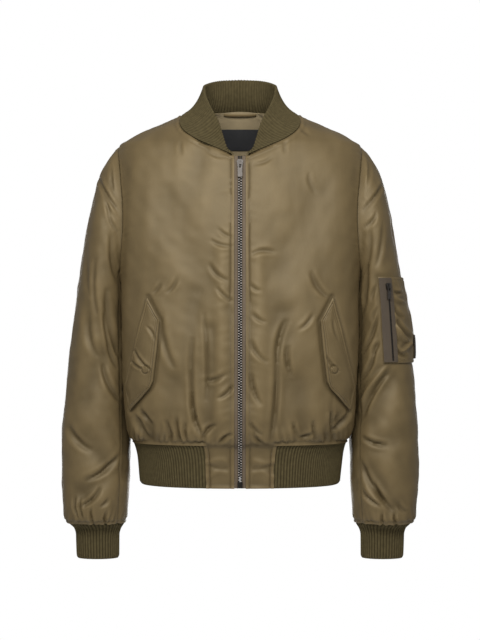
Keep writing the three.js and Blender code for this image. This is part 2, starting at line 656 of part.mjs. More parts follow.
// Collar: rises from the neckline to its free edge, a little hollow halfway up
function addCollar(line) {
  const edgePoint = (t) => {
    const side = t > 180 ? -1 : 1;
    const place = collarEdge(t > 180 ? 360 - t : t);
    return new THREE.Vector3(side * place.x, place.y, place.z);
  };
  const lifts = line.map(({ normal }, i) => {
    const after = line[Math.min(i + 1, line.length - 1)].point;
    const along = after.clone().sub(line[Math.max(i - 1, 0)].point);
    return normal.clone().cross(along).normalize();
  });
  const surface = (u, height) => {
    const at = clamp(Math.floor(u), 0, line.length - 2);
    const s = u - at;
    const foot = line[at].point.clone().lerp(line[at + 1].point, s);
    const normal = line[at].normal.clone().lerp(line[at + 1].normal, s).normalize();
    const top = edgePoint(mix(line[at].t, line[at + 1].t, s));
    const rise = top.clone().sub(foot);
    const start = foot.addScaledVector(lifts[at].clone().lerp(lifts[at + 1], s).normalize(), COLLAR_LIFT);
    const dip = COLLAR_HOLLOW * 4 * height * (1 - height) * smooth(rise.length(), 8, 45);
    return { point: start.lerp(top, height).addScaledVector(normal, -dip), normal };
  };
  const lengths = [0];
  for (let i = 1; i < line.length; i += 1) {
    lengths.push(lengths[i - 1] + line[i].point.distanceTo(line[i - 1].point));
  }
  const atLength = (share) => {
    const target = share * lengths[lengths.length - 1];
    const i = clamp(lengths.findIndex((length) => length > target) - 1, 0, line.length - 2);
    const from = target >= lengths[lengths.length - 1] ? line.length - 2 : i;
    return from + (target - lengths[from]) / (lengths[from + 1] - lengths[from]);
  };
  const facing = (u, height) => {
    if (height === 0) return surface(u, 0).normal;
    const next = surface(Math.min(line.length - 1, u + 0.4), height).point;
    const around = next.sub(surface(Math.max(0, u - 0.4), height).point);
    const up = surface(u, height).point.sub(surface(u, height - 0.25).point);
    return around.cross(up).normalize();
  };
  const row = (height, places, out) =>
    places.map((u, j) => surface(u, height).point.addScaledVector(facing(u, height), out(j)));
  const columns = COLLAR_RIBS * 2;
  const ribPlaces = range(columns + 1).map((j) => atLength(j / columns));
  const plainPlaces = range(line.length);
  const raise = (height) => (j) => (j % 2 ? RIB_HEIGHT : 0) * (height === 0 ? 0.3 : 1);
  const outer = COLLAR_HEIGHTS.map((height) => row(height, ribPlaces, raise(height)));
  const inner = COLLAR_HEIGHTS.map((height) => row(height, plainPlaces, () => -KNIT_WALL + RIB_HEIGHT));
  const innerShares = lengths.map((length) => length / lengths[lengths.length - 1]);
  addPiece('collar', KNIT, ribbedTriangles(outer, inner, false, [evenShares(ribPlaces), innerShares]));
}

// Neck lining, label and hanger loop, inside the back
function insideBack(x, z, depth) {
  let low = 90;
  let high = 180;
  for (let step = 0; step < 40; step += 1) {
    const middle = (low + high) / 2;
    if (bodyBase(middle, z).x > Math.abs(x)) low = middle;
    else high = middle;
  }
  const t = x < 0 ? 360 - low : low;
  return bodyBase(t, z).addScaledVector(bodyNormal(t, z), -depth);
}

function addNeck(grid) {
  const top = grid.points.length - 1;
  const across = (row) => row.slice(LINING.fromColumn, LINING.toColumn + 1);
  const take = (source) => source.slice(top - LINING.rowsDown, top + 1).map(across);
  const points = take(grid.points);
  const normals = take(grid.normals);
  const face = SHELL_WALL + SEAM_GAP;
  const lining = wallTriangles(moved(points, normals, -face), moved(points, normals, -face - LINING_WALL));
  addPiece('neck_lining', LINED, lining);

  const behind = face + LINING_WALL + LAID_GAP;
  const labelX = (j) => mix(LABEL.half, -LABEL.half, j / LABEL.columns);
  const labelRows = [LABEL.foot, mix(LABEL.foot, LABEL.top, 0.5), LABEL.top];
  const label = (depth) =>
    labelRows.map((z) => range(LABEL.columns + 1).map((j) => insideBack(labelX(j), z, depth)));
  addPiece('neck_label', LABEL_CLOTH, wallTriangles(label(behind), label(behind + LABEL.wall)));

  const loop = (extra) => [LOOP.z - LOOP.width / 2, LOOP.z + LOOP.width / 2].map((z) =>
    range(LOOP.columns + 1).map((j) => {
      const share = j / LOOP.columns;
      const stand = LOOP.stand * Math.sin(Math.PI * share) ** 0.7;
      return insideBack(mix(LOOP.half, -LOOP.half, share), z, behind + stand + extra);
    }));
  addPiece('hanger_loop', LINED, wallTriangles(loop(0), loop(LOOP.wall)));
}

// Flap that lies on a front, and its snap
function frontOutside(side, x, z, out) {
  const t = bodyTurnAt(x, z);
  return frontPoint(side, t, z, 0).addScaledVector(bodyNormal(t, z), out);
}

function addFlap(sideName, side) {
  const rows = [...FLAP_EDGES].reverse();
  const grid = (wall) => rows.map((row) => range(FLAP_COLUMNS + 1).map((j) => {
    const share = j / FLAP_COLUMNS;
    const out = wall + mix(FLAP_FREE_GAP, LAID_GAP, share);
    return frontOutside(side, mix(row.inX, row.outX, share), mix(row.inZ, row.outZ, share), out);
  }));
  const triangles = wallTriangles(grid(FLAP_WALL), grid(0));
  addPiece('flap_' + sideName, SHELL, side > 0 ? triangles : mirrored(triangles));

  const t = bodyTurnAt(SNAP.x, SNAP.z);
  const normal = bodyNormal(t, SNAP.z);
  normal.x *= side;
  const place = frontOutside(side, SNAP.x, SNAP.z, FLAP_FREE_GAP + SEAM_GAP + FLAP_WALL);
  const cap = new THREE.CylinderGeometry(SNAP.radius * 0.8, SNAP.radius, SNAP.height, 20);
  cap.translate(0, SNAP.height / 2, 0);
  const mesh = new THREE.Mesh(cap, SHELL());
  mesh.name = 'snap_' + sideName;
  mesh.position.set(side * place.x, place.y, place.z);
  mesh.quaternion.setFromUnitVectors(new THREE.Vector3(0, 1, 0), normal);
  jacket.add(mesh);
}

// Utility pocket on the right sleeve, its zip tape and its pen slot
function pocketBulge(turn, z) {
  const around = clamp((turn - POCKET.fromTop) / (POCKET.toFoot - POCKET.fromTop), 0, 1);
  const along = clamp((POCKET.top - z) / (POCKET.top - POCKET.foot), 0, 1);
  return POCKET_BULGE * Math.sin(Math.PI * around ** 1.6) * Math.sin(Math.PI * along ** 1.5);
}

// The ring on which the sleeve reaches a height at a turn
function sleeveRingAt(turn, z) {
  let low = 1;
  let high = SLEEVE.length - 1;
  for (let step = 0; step < 40; step += 1) {
    const middle = (low + high) / 2;
    if (sleeveBase(turn, middle).z > z) low = middle;
    else high = middle;
  }
  return (low + high) / 2;
}

function sleevePatch(edges, rows, columns, out) {
  return range(rows + 1).map((i) => range(columns + 1).map((j) => {
    const down = i / rows;
    const z = mix(edges.top, edges.foot, down);
    const from = mix(edges.fromTop, edges.fromFoot, down);
    const to = mix(edges.toTop, edges.toFoot, down);
    const turn = mix(from, to, j / columns);
    const ring = sleeveRingAt(turn, z);
    return sleevePoint(1, turn, ring).addScaledVector(sleeveNormal(turn, ring), out(turn, z));
  }));
}

function addSleevePocket() {
  const layer = (bottom, wall, patch, rows, columns) => wallTriangles(
    sleevePatch(patch, rows, columns, (turn, z) => bottom + wall + pocketBulge(turn, z)),
    sleevePatch(patch, rows, columns, (turn, z) => bottom + pocketBulge(turn, z)),
  );
  addPiece('sleeve_pocket', SHELL, layer(LAID_GAP, POCKET_WALL, POCKET, POCKET_ROWS, POCKET_COLUMNS));
  const onPocket = LAID_GAP * 1.4 + POCKET_WALL;
  addPiece('pocket_tape', TAPE, layer(onPocket, 1.2, POCKET_ZIP, 6, POCKET_ZIP_COLUMNS));
  addPiece('pen_slot', TAPE, layer(onPocket + 0.2, PEN_SLOT_WALL, PEN_SLOT, 3, 3));
  return onPocket + 1.2;
}

// Zip hardware, modelled upright at the origin: the face of the cloth is y = 0 and out is -Y
const wasm = await Module();
wasm.setup();

function solidOf(geometry) {
  const plain = new THREE.BufferGeometry();
  plain.setAttribute('position', geometry.attributes.position);
  if (geometry.index) plain.setIndex(geometry.index);
  const merged = mergeVertices(plain);
  const vertProperties = new Float32Array(merged.attributes.position.array);
  const triVerts = new Uint32Array(merged.index.array);
  return new wasm.Manifold(new wasm.Mesh({ numProp: 3, vertProperties, triVerts }));
}

function geometryOf(solid) {
  const { vertProperties, triVerts } = solid.getMesh();
  const geometry = new THREE.BufferGeometry();
  geometry.setAttribute('position', new THREE.Float32BufferAttribute(vertProperties, 3));
  geometry.setIndex(Array.from(triVerts));
  return geometry;
}

// A plate cut to an outline in x and z, its back face at y = back and its front face thick nearer
function plate(outline, hole, back, thick) {
  const shape = new THREE.Shape(outline.map(([x, z]) => new THREE.Vector2(x, z)));
  if (hole) shape.holes = [new THREE.Path(hole.map(([x, z]) => new THREE.Vector2(x, z)))];
  const geometry = new THREE.ExtrudeGeometry(shape, { depth: thick, bevelEnabled: false });
  geometry.rotateX(Math.PI / 2);
  return geometry.translate(0, back, 0);
}

function rectangle(x1, x2, z1, z2) {
  return [[x1, z1], [x2, z1], [x2, z2], [x1, z2]];
}

function slider() {
  const top = SLIDER.height / 2;
  const wide = SLIDER.width / 2;
  const outline = [[-wide + 1.4, -top], [wide - 1.4, -top], [wide - 0.6, 0], [wide, top - 2.4],
    [wide - 2.6, top], [-wide + 2.6, top], [-wide, top - 2.4], [-wide + 0.6, 0]];
  const face = -SLIDER.thick;
  const body = solidOf(plate(outline, null, 0, SLIDER.thick));
  const reach = BRIDGE.height / 2;
  const half = BRIDGE.width / 2;
  const arch = solidOf(plate(rectangle(-half, half, -reach, reach), null, face + 1, BRIDGE.out + 1));
  const window = rectangle(-BRIDGE.width, BRIDGE.width, -reach + BRIDGE.bar, reach - BRIDGE.bar);
  const under = solidOf(plate(window, null, face, BRIDGE.out - BRIDGE.bar));
  return geometryOf(body.add(arch.subtract(under)));
}

// The pull's cross bar lies under the bridge, and its two legs stand beside it
const PULL_AXIS = {
  y: -SLIDER.thick - (BRIDGE.out - BRIDGE.bar) / 2,
  z: -BRIDGE.height / 2 + BRIDGE.bar + PULL.bar,
};

function pull() {
  const half = PULL.width / 2;
  const top = PULL.bar / 2;
  const foot = top - PULL.length;
  const outline = [[-half, top], [-half, foot + 1.2], [-half + 1.2, foot], [half - 1.2, foot],
    [half, foot + 1.2], [half, top]];
  const leg = half - PULL.leg;
  const hole = rectangle(-leg, leg, -PULL.window, -top);
  const tab = plate(outline.reverse(), hole, PULL.thick / 2, PULL.thick);
  return tab.translate(0, PULL_AXIS.y, PULL_AXIS.z);
}

function addHardware(name, geometry, place, scale) {
  const mesh = new THREE.Mesh(geometry, METAL());
  mesh.name = name;
  mesh.scale.setScalar(scale);
  mesh.quaternion.setFromRotationMatrix(place.turn);
  mesh.position.copy(place.at);
  jacket.add(mesh);
}

// A place for hardware: out is the direction it faces, and up follows the zip
function hardwarePlace(at, out, up) {
  const across = up.clone().cross(out).normalize();
  const along = across.clone().cross(out.clone().negate()).normalize();
  return { at, turn: new THREE.Matrix4().makeBasis(across, out.clone().negate().normalize(), along) };
}

function addFrontHardware() {
  const facing = bodyNormal(0, SLIDER.z);
  const tapeFace = bodyBase(0, SLIDER.z).y + TAPE_RECESS;
  const at = new THREE.Vector3(0, tapeFace, SLIDER.z).addScaledVector(facing, SLIDER.stand);
  const place = hardwarePlace(at, facing, new THREE.Vector3(0, 0, 1));
  addHardware('front_slider', slider(), place, 1);
  addHardware('front_pull', pull(), place, 1);
  const footZ = TAB_ROWS[0] + ZIP_BOX.height / 2 + 1;
  const foot = new THREE.Vector3(0, bodyBase(0, footZ).y + TAPE_RECESS, footZ);
  const box = new THREE.BoxGeometry(ZIP_BOX.width, ZIP_BOX.thick, ZIP_BOX.height);
  box.translate(0, -ZIP_BOX.thick / 2, 0);
  const boxFacing = bodyNormal(0, footZ + ZIP_BOX.height);
  foot.addScaledVector(boxFacing, ZIP_BOX.stand);
  addHardware('zip_box', box, hardwarePlace(foot, boxFacing, new THREE.Vector3(0, 0, 1)), 1);
}

function addPocketHardware(tapeFace) {
  const { turn, z, stand } = POCKET_SLIDER;
  const ring = sleeveRingAt(turn, z);
  const facing = sleeveNormal(turn, ring);
  const at = sleevePoint(1, turn, ring).addScaledVector(facing, tapeFace + stand + pocketBulge(turn, z));
  facing.z = 0;
  const place = hardwarePlace(at, facing.normalize(), new THREE.Vector3(0, 0, 1));
  addHardware('pocket_slider', slider(), place, POCKET_HARDWARE);
  addHardware('pocket_pull', pull(), place, POCKET_HARDWARE);
}

// Front zip: two tapes in the gap between the fronts
function addTapes(grid) {
  for (const [sideName, side] of [['left', -1], ['right', 1]]) {
    const strip = (recess) => grid.points.map((row) => [TAPE_INNER_X, TAPE_EDGE_X].map((x) =>
      new THREE.Vector3(x, row[0].y + recess, row[0].z)));
    const triangles = wallTriangles(strip(TAPE_RECESS), strip(TAPE_RECESS + TAPE_WALL));
    addPiece('zip_tape_' + sideName, TAPE, side > 0 ? triangles : mirrored(triangles));
  }
}

const rightFront = frontGrid(1);
const leftFront = frontGrid(-1);
const backPanel = backGrid();
addFront('front_right', 1);
addFront('front_left', -1);
addBack(backPanel);
addSleeve('right', 1);
addSleeve('left', -1);
addCuff('cuff_right', 1);
addCuff('cuff_left', -1);
addHemRib();
addCollar(neckline(rightFront, leftFront, backPanel));
addNeck(backPanel);
addFlap('right', 1);
addFlap('left', -1);
const pocketFace = addSleevePocket();
addTapes(rightFront);
addFrontHardware();
addPocketHardware(pocketFace);

export default jacket;
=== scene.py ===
import functools

import bpy
import numpy as np
from bpy.props import FloatProperty, FloatVectorProperty, PointerProperty
from mathutils import Matrix


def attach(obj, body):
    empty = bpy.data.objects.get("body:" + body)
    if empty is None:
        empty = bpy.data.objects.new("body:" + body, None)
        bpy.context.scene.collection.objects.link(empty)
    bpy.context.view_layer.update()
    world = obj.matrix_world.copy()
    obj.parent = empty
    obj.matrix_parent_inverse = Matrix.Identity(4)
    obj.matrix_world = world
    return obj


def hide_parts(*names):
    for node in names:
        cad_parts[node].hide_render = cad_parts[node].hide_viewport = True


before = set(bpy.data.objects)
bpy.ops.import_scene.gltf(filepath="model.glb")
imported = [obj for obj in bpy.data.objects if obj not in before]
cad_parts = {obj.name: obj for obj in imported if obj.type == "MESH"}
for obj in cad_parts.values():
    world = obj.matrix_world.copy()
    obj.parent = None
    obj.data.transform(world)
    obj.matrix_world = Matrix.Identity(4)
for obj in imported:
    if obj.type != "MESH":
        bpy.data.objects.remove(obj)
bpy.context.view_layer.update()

bl_info = {
    "name": "Bomber Jacket",
    "version": (1, 0, 0),
    "blender": (4, 5, 0),
    "location": "View3D > Sidebar > Jacket",
    "description": "Olive satin bomber jacket with ribbed knit, filled out as it is worn",
    "category": "Object",
}

# Sizes are in millimetres up to the meshes, which are in metres. +Z is up, and the fronts face -Y.
MM = 0.001
SHELL_WALL = 2.2
KNIT_WALL = 4.2
LINING_WALL = 1.2
SEAM_GAP = 0.3
LAID_GAP = 1.0
RIB_HEIGHT = 1.4
RIB_COLUMNS = 6
SIDES = (("right", 1), ("left", -1))

ZIP_EDGE_X = 9.3
TAPE_RECESS = 0.8
HEM_Z = -545.0
UNDERARM_Z = -283.0
SHOULDER_Z = -46.0
NECK_SIDE_Z = 8.0
NECK_FRONT_Z = -70.0
NECK_BACK_Z = 22.0
TAB_FOOT_Z = -616.0
TAB_SHARE = (2 / 13) ** 0.95
FRONT_ROW_POWER = 2.2
ZIP_TURN = 4.0
CLOSE_Z = -300.0
UNDER_SLEEVE = (140.0, 220.0)
HEM_RIBS = 192
CUFF_RIBS = 44
COLLAR_RIBS = 108
ARMHOLE_FRONT = 30.0
ARMHOLE_BACK = 32.0
ARMHOLE_ROUNDNESS = 0.85
GRID_STEP = 3.0
TUCK = 3.0
FLOOR_Z = -1450.0

# Creases: growth of their depth down the jacket, their width, the depth at which their painted shade is full
# and the blur of the heights for that shade
CREASE_SHARE = (1.0, 1.8)
CREASE_GROWS = (180, 430)
CREASE_WIDTH = 0.75
PAINTED_SHADE_DEPTH = 2.2
BLUR_STEPS = 40

# Seams: width of their grooves, gathers and rise at the hem, where folds end, depths round the armhole
SEAM_WIDTH = 2.4
HEM_GATHERS = 4.2
HEM_RISE = 8
FOLD_END_X = (160, 192)
ARMHOLE_SEAM = (0.6, 2.0)
SLEEVE_HEAD_SEAM = (1.8, 0.5)
ARMHOLE_SEAM_Z = (-90, -55)

# Columns and rows of the pieces' grids
FRONT_COLUMNS = 84
TAB_COLUMNS = 22
TAB_ROWS = 26
BACK_COLUMNS = 150
UPPER_COLUMNS = 116
UNDER_COLUMNS = 34
HEM_ROWS = 20
CUFF_ROWS = 24
COLLAR_ROWS = 22
COLLAR_EDGE_ROWS = 7

# Level sections of the body: z, half width, reach to the front and the back, hollow under the arm, squareness
BODY = (
    (-616, 168, 114, 108, 0, 0.05),
    (-576, 171, 117, 110, 0, 0.05),
    (-549, 178, 123, 116, 0, 0.06),
    (-541, 188, 131, 124, 8, 0.07),
    (-520, 198, 138, 130, 15, 0.08),
    (-480, 203, 142, 133, 20, 0.09),
    (-400, 207, 142, 131, 23, 0.1),
    (-300, 209, 138, 127, 24, 0.1),
    (-250, 212, 134, 124, 14, 0.1),
    (-200, 216, 130, 122, 0, 0.1),
    (-120, 217, 119, 116, 0, 0.1),
    (-70, 213, 107, 109, 0, 0.09),
    (-46, 205, 99, 103, 0, 0.08),
    (-34, 188, 93, 98, 0, 0.06),
    (-13, 143, 80, 88, 0, 0.04),
    (8, 97, 64, 77, 0, 0.02),
    (22, 70, 58, 71, 0, 0),
)
HOLLOW_AT = 100.0
HOLLOW_SPREAD = 38.0

# Rings of the sleeve: ring, inmost x and z, outmost x and z, middle of its depth and half that depth
SLEEVE = (
    (0, 189, -283, 205, -46, 0, 72),
    (1, 194, -280.5, 215, -55, 3, 77),
    (2, 197.5, -282, 226, -70, 5, 81),
    (3, 199, -286, 236, -88, 7, 84),
    (4, 199, -292, 244.5, -113, 8, 86),
    (5, 198, -301, 252, -144, 9, 87),
    (6, 197, -313, 259.5, -182, 10, 87),
    (7, 195.5, -329, 267, -225, 11, 86),
    (8, 194, -351, 274.5, -268, 12, 85),
    (9, 192, -381, 281, -318, 12, 82),
    (10, 190.5, -415, 288, -375, 11, 79),
    (11, 189, -452, 294.5, -430, 9, 76),
    (12, 188, -490, 298.5, -488, 6, 73),
    (13, 186.5, -535, 301, -540, 1, 69),
    (14, 186, -580, 302, -585, -3, 66),
    (15, 188, -622, 301.5, -625, -6, 62),
    (16, 190.5, -655, 299.5, -655, -8, 58),
    (17, 192.5, -675, 297, -675, -9, 54),
    (18, 196.5, -684, 288.5, -684, -9, 43),
    (19, 202, -690, 280, -690, -9, 29),
)
SLEEVE_SQUARE = 0.03
CUFF_RING = 17.6
# Level sections of the cuff: z, middle x, half width and half depth
CUFF = (
    (-742, 240.5, 34.5, 25.5),
    (-703, 241, 35, 26),
    (-692, 241, 38, 28.5),
    (-685, 242.3, 44, 40),
    (-680, 243.4, 47.6, 46),
    (-676, 244, 49, 49),
)
CUFF_MID_Y = -9.0

# Free edge of the collar: degrees round the neck from the front, then x, y and z
COLLAR_EDGE = (
    (0, 10.5, -102, -67),
    (6, 21, -93, -58),
    (10, 27, -86, -43),
    (15, 32, -79, -27),
    (22, 38, -70, -8),
    (30, 47, -60, 9),
    (45, 54, -45, 24),
    (65, 60, -26, 42),
    (90, 61.5, 2, 56),
    (120, 54, 33, 65),
    (150, 32, 54, 72),
    (180, 0, 60, 74),
)
COLLAR_HOLLOW = 7.0
COLLAR_LIFT = 0.6

# Large folds: x and z of each end, bow of the line between them, spread to each side and depth
FRONT_FOLDS = (
    (-72, -300, -76, -505, 4, 18, 4),
    (-48, -356, -50, -515, 0, 13, 3.6),
    (-160, -506, -148, -538, 0, 14, 6),
    (-106, -440, -112, -530, 0, 17, 4),
    (69, -330, 64, -510, -4, 18, 4.2),
    (96, -440, 104, -530, 0, 17, 5),
    (164, -508, 150, -535, 0, 14, 6),
    (-118, -150, -62, -270, 0, 30, 4),
    (124, -128, 70, -260, 0, 30, 4),
    (-30, -230, -34, -500, 0, 12, -3),
    (30, -240, 33, -500, 0, 12, -3),
)
BACK_FOLDS = (
    (-60, -300, -66, -505, 0, 18, 6),
    (24, -340, 18, -510, 0, 16, 5),
    (88, -320, 98, -505, 0, 18, 6),
    (-150, -190, -60, -300, 0, 24, 5),
    (150, -180, 62, -290, 0, 24, 5),
)
SLEEVE_FOLDS = (
    (-262, -628, -215, -590, 0, 17, 6),
    (-226, -400, -262, -470, 0, 20, 5),
    (-262, -540, -222, -575, 0, 18, 5),
    (214, -590, 255, -650, 0, 17, 6),
    (252, -440, 215, -500, 0, 20, 6),
    (270, -530, 222, -552, 0, 17, 4),
)

# Creases, in the same columns as the folds
FRONT_CREASES = (
    (-34, -193, -15, -205, 2, 5, 1.6),
    (-46, -211, -14, -220, 3, 5, 1.8),
    (-49, -250, -22, -276, 4, 6, 2),
    (-37, -288, -15, -308, 2, 5, 1.8),
    (-55, -439, -26, -429, 3, 6, 2),
    (-35, -467, -13, -447, 3, 5, 2),
    (-41, -510, -60, -532, 3, 5, 2.4),
    (-14, -525, -36, -546, 3, 5, 2.4),
    (-78, -370, -74, -505, 4, 6, 1.8),
    (-59, -330, -55, -470, -3, 5, 1.4),
    (-79, -460, -60, -532, 6, 6, 2.4),
    (-104, -500, -98, -540, 2, 5, 2.2),
    (-90, -508, -86, -541, 2, 5, 2.2),
    (-122, -505, -116, -540, -2, 5, 2),
    (-166, -478, -147, -510, 4, 6, 2.6),
    (-171, -501, -155, -535, 3, 6, 2.8),
    (-141, -296, -130, -281, 1, 5, 1.6),
    (-118, -295, -103, -273, 2, 5, 1.6),
    (-98, -46, -96, -68, 1, 5, 1.6),
    (-55, -61, -26, -73, 3, 5, 1.6),
    (-130, -330, -108, -418, 6, 8, 1.8),
    (20, -232, 56, -229, -3, 6, 2),
    (18, -283, 32, -293, 2, 5, 1.6),
    (21, -330, 40, -344, 2, 5, 1.8),
    (18, -375, 42, -408, 4, 6, 2),
    (18, -428, 34, -477, 4, 6, 2),
    (17, -507, 34, -526, 2, 5, 2.2),
    (22, -523, 44, -547, 3, 5, 2.4),
    (75, -341, 60, -408, 4, 7, 2.4),
    (60, -408, 51, -534, -3, 7, 2.4),
    (77, -384, 84, -430, 3, 6, 2.2),
    (88, -508, 97, -532, 2, 5, 2.2),
    (99, -534, 118, -526, 2, 5, 2),
    (120, -505, 128, -540, 2, 5, 2.2),
    (154, -524, 181, -490, 4, 6, 2.6),
    (153, -458, 154, -524, 3, 5, 2.2),
    (116, -263, 143, -303, 4, 7, 2.2),
    (98, -355, 117, -333, 2, 5, 1.8),
    (75, -46, 74, -66, 1, 5, 1.6),
    (98, -16, 114, -33, 2, 5, 1.4),
    (113, -99, 125, -129, 3, 6, 1.4),
    (25, -84, 52, -73, 3, 5, 1.6),
)
BACK_CREASES = (
    (-150, -330, -128, -420, 6, 8, 2),
    (-104, -430, -110, -540, 4, 7, 2.4),
    (-40, -470, -32, -542, 3, 6, 2.4),
    (-8, -490, -14, -542, 2, 5, 2.2),
    (44, -480, 52, -542, 3, 6, 2.4),
    (74, -500, 70, -542, 2, 5, 2.2),
    (126, -450, 138, -540, 5, 7, 2.4),
    (150, -500, 168, -536, 3, 6, 2.6),
    (-150, -505, -166, -536, 3, 6, 2.6),
    (-120, -130, -70, -150, 5, 8, 1.8),
    (118, -120, 66, -146, -5, 8, 1.8),
    (-60, -10, -50, -36, 2, 6, 1.4),
    (64, -8, 56, -34, 2, 6, 1.4),
    (-172, -220, -110, -262, 7, 9, 2.2),
    (174, -230, 116, -268, -7, 9, 2.2),
    (-20, -180, 14, -260, 8, 12, 1.6),
)
SLEEVE_CREASES = (
    (-238, -100, -201, -160, 3, 5, 3.2),
    (-229, -124, -203, -178, 3, 5, 1.6),
    (-240, -240, -238, -330, 4, 6, 1.6),
    (-226, -330, -205, -420, 4, 5, 2.4),
    (-256, -210, -250, -300, 3, 7, 1.4),
    (-214, -200, -204, -280, 3, 6, 1.8),
    (-220, -147, -202, -196, 4, 5, 1.8),
    (-214, -86, -208, -132, 3, 5, 1.6),
    (-222, -290, -198, -406, 8, 8, 2.6),
    (-227, -416, -199, -478, 5, 7, 2.6),
    (-257, -606, -200, -567, 6, 7, 2.8),
    (-264, -650, -232, -621, 4, 6, 2.8),
    (-232, -650, -220, -638, 2, 5, 2),
    (-277, -636, -270, -670, 2, 4, 2.2),
    (-268, -640, -262, -672, 2, 4, 2),
    (-248, -655, -244, -682, 2, 4, 2.2),
    (-222, -660, -224, -684, 2, 4, 2.2),
    (-252, -330, -238, -400, 7, 9, 1.8),
    (-286, -520, -250, -556, 6, 8, 2.2),
    (239, -112, 203, -158, -3, 5, 3.2),
    (226, -170, 206, -184, -2, 5, 1.8),
    (216, -190, 208, -262, -3, 6, 1.6),
    (236, -180, 226, -250, -3, 6, 1.6),
    (212, -250, 206, -330, -2, 5, 2.0),
    (236, -300, 206, -395, -4, 5, 2.2),
    (224, -392, 204, -440, -3, 5, 2.2),
    (226, -162, 202, -190, -4, 5, 1.8),
    (215, -75, 211, -115, -3, 5, 1.6),
    (243, -418, 198, -494, 6, 7, -2.4),
    (246, -430, 203, -500, 6, 6, 2.4),
    (205, -537, 242, -548, 3, 6, 2.6),
    (198, -574, 241, -642, 6, 7, 2.8),
    (222, -612, 254, -657, 4, 6, 2.6),
    (202, -624, 234, -650, 3, 5, 2.4),
    (264, -646, 278, -660, 2, 5, 2.2),
    (236, -660, 240, -684, 2, 4, 2.2),
    (258, -662, 262, -684, 2, 4, 2),
    (228, -282, 219, -306, 2, 5, 1.8),
    (230, -318, 220, -342, 2, 5, 1.8),
    (238, -374, 221, -398, 3, 6, 2),
)
SLEEVE_BACK_CREASES = (
    (-235, -120, -204, -190, 6, 8, 2.2),
    (-222, -296, -202, -400, 6, 9, 2.6),
    (-270, -360, -216, -410, 8, 9, 3),
    (-276, -420, -214, -452, 7, 8, 3),
    (-262, -520, -206, -560, 6, 9, 2.8),
    (-268, -640, -214, -600, 5, 8, 2.8),
    (-250, -650, -246, -684, 2, 5, 2.2),
    (236, -130, 204, -200, -6, 8, 2.2),
    (220, -300, 200, -396, -6, 9, 2.6),
    (274, -372, 214, -404, -8, 9, 3),
    (280, -430, 216, -466, -7, 8, 3),
    (270, -540, 206, -566, -6, 9, 2.8),
    (214, -604, 262, -650, 5, 8, 2.8),
    (244, -654, 250, -684, 2, 5, 2.2),
)

# Slanted flap: x and z of the edge at the side seam, then of the edge towards the zip
FLAP_EDGES = (
    (151, -302, 130.5, -341),
    (163, -345, 132.5, -366),
    (174, -390, 135, -392),
    (184, -430, 138, -417),
    (189, -452, 141, -440),
    (180, -489, 146, -451),
)
LEFT_FLAP_CREASES = (
    (172, -389, 146, -421, -2, 4, 1.5),
    (177, -407, 158, -420, -1, 3.5, 1.4),
    (150, -350, 138, -372, 2, 4, 0.9),
)
RIGHT_FLAP_CREASES = (
    (140, -400, 160, -424, 2, 4, 1.3),
    (150, -340, 158, -372, 2, 4, 0.9),
)
FLAP_WALL = 2.4
FLAP_FREE_GAP = 2.0
SNAP_X = 152.0
SNAP_Z = -421.0
SNAP_RADIUS = 5.2
SNAP_HEIGHT = 2.4

# Sleeve pocket: degrees round the sleeve along its top and foot, and their heights
POCKET = {"top": (-93, 14), "foot": (-92, 20), "z": (-268.5, -412)}
POCKET_ZIP = {"top": (-92, -67), "foot": (-91, -68), "z": (-270, -410)}
POCKET_COIL = {"top": (-76.3, -76), "foot": (-76.3, -76), "z": (-290, -407)}
PEN_SLOT = {"top": (-20, 14), "foot": (-20, 14), "z": (-366, -406)}
POCKET_CREASES = (
    (257, -293, 270, -295, 1, 4, 2.6),
    (257, -301, 276, -310, 2, 5, -2.2),
    (258, -318, 272, -336, 3, 5, 2.4),
    (259, -349, 286, -380, 3, 5, -2.6),
    (262, -341, 288, -370, 3, 5, 2.8),
    (256, -385, 278, -402, 2, 5, 2.8),
    (270, -392, 290, -374, 2, 5, -2.0),
    (256, -362, 266, -378, 2, 5, 2.0),
)
POCKET_BULGE = 5.0
TAPE_REACH = 22.0
POCKET_WALL = 2.4

LABEL = {"half": 33, "top": -5, "foot": -41}
LOOP = {"half": 30, "z": 19, "width": 4, "stand": 4}
LINING_SHARE = 8 / 11
LINING_CREASES = (
    (-48, 18, -30, 8, 1, 4, 1.5),
    (-44, 8, -34, -3, 1, 4, 1.3),
    (32, 16, 46, 6, 1, 4, 1.5),
    (34, 6, 42, -4, 1, 4, 1.3),
)
LINING_SIDE_Z = -34.0
LINING_FOOT = 0.8
LINING_FACE = 3.0 + SEAM_GAP
ON_LINING = LINING_FACE + LINING_WALL + LAID_GAP

# Front zip: the tape's inner and outer x, then each tooth's size and its way off the middle and the tape
TAPE_X = (0.3, 9.25)
TAPE_COLUMNS = 14
TOOTH_SIZE = (2.7, 2.8, 1.9)
TOOTH_X = 1.75
TOOTH_RISE = 1.2
TEETH_Z = (TAB_FOOT_Z + 6, NECK_FRONT_Z - 8)
COIL_SIZE = (3.4, 1.6, 0.9)
METAL_NODES = ("front_slider", "front_pull", "zip_box", "pocket_slider", "pocket_pull")
METAL_FACTORS = {"front": 1.4, "pocket": 2.6}

# Topstitching: the edge of the grid it follows, mm from that edge, and the shares where it starts and ends
FRONT_STITCHING = (("first", 6.6, 0.01, 0.99),)
TAB_STITCHING = (("first", 6.6, 0.1, 1), ("last", 5.8, 0.1, 0.96), ("low", 6.4, 0.12, 0.9))
FLAP_STITCHING = (("first", 5.0, 0.07, 0.93), ("low", 5.0, 0.17, 1), ("high", 5.0, 0.17, 1))
STITCH_RADIUS = 0.32
STITCH_PITCH = 1.25

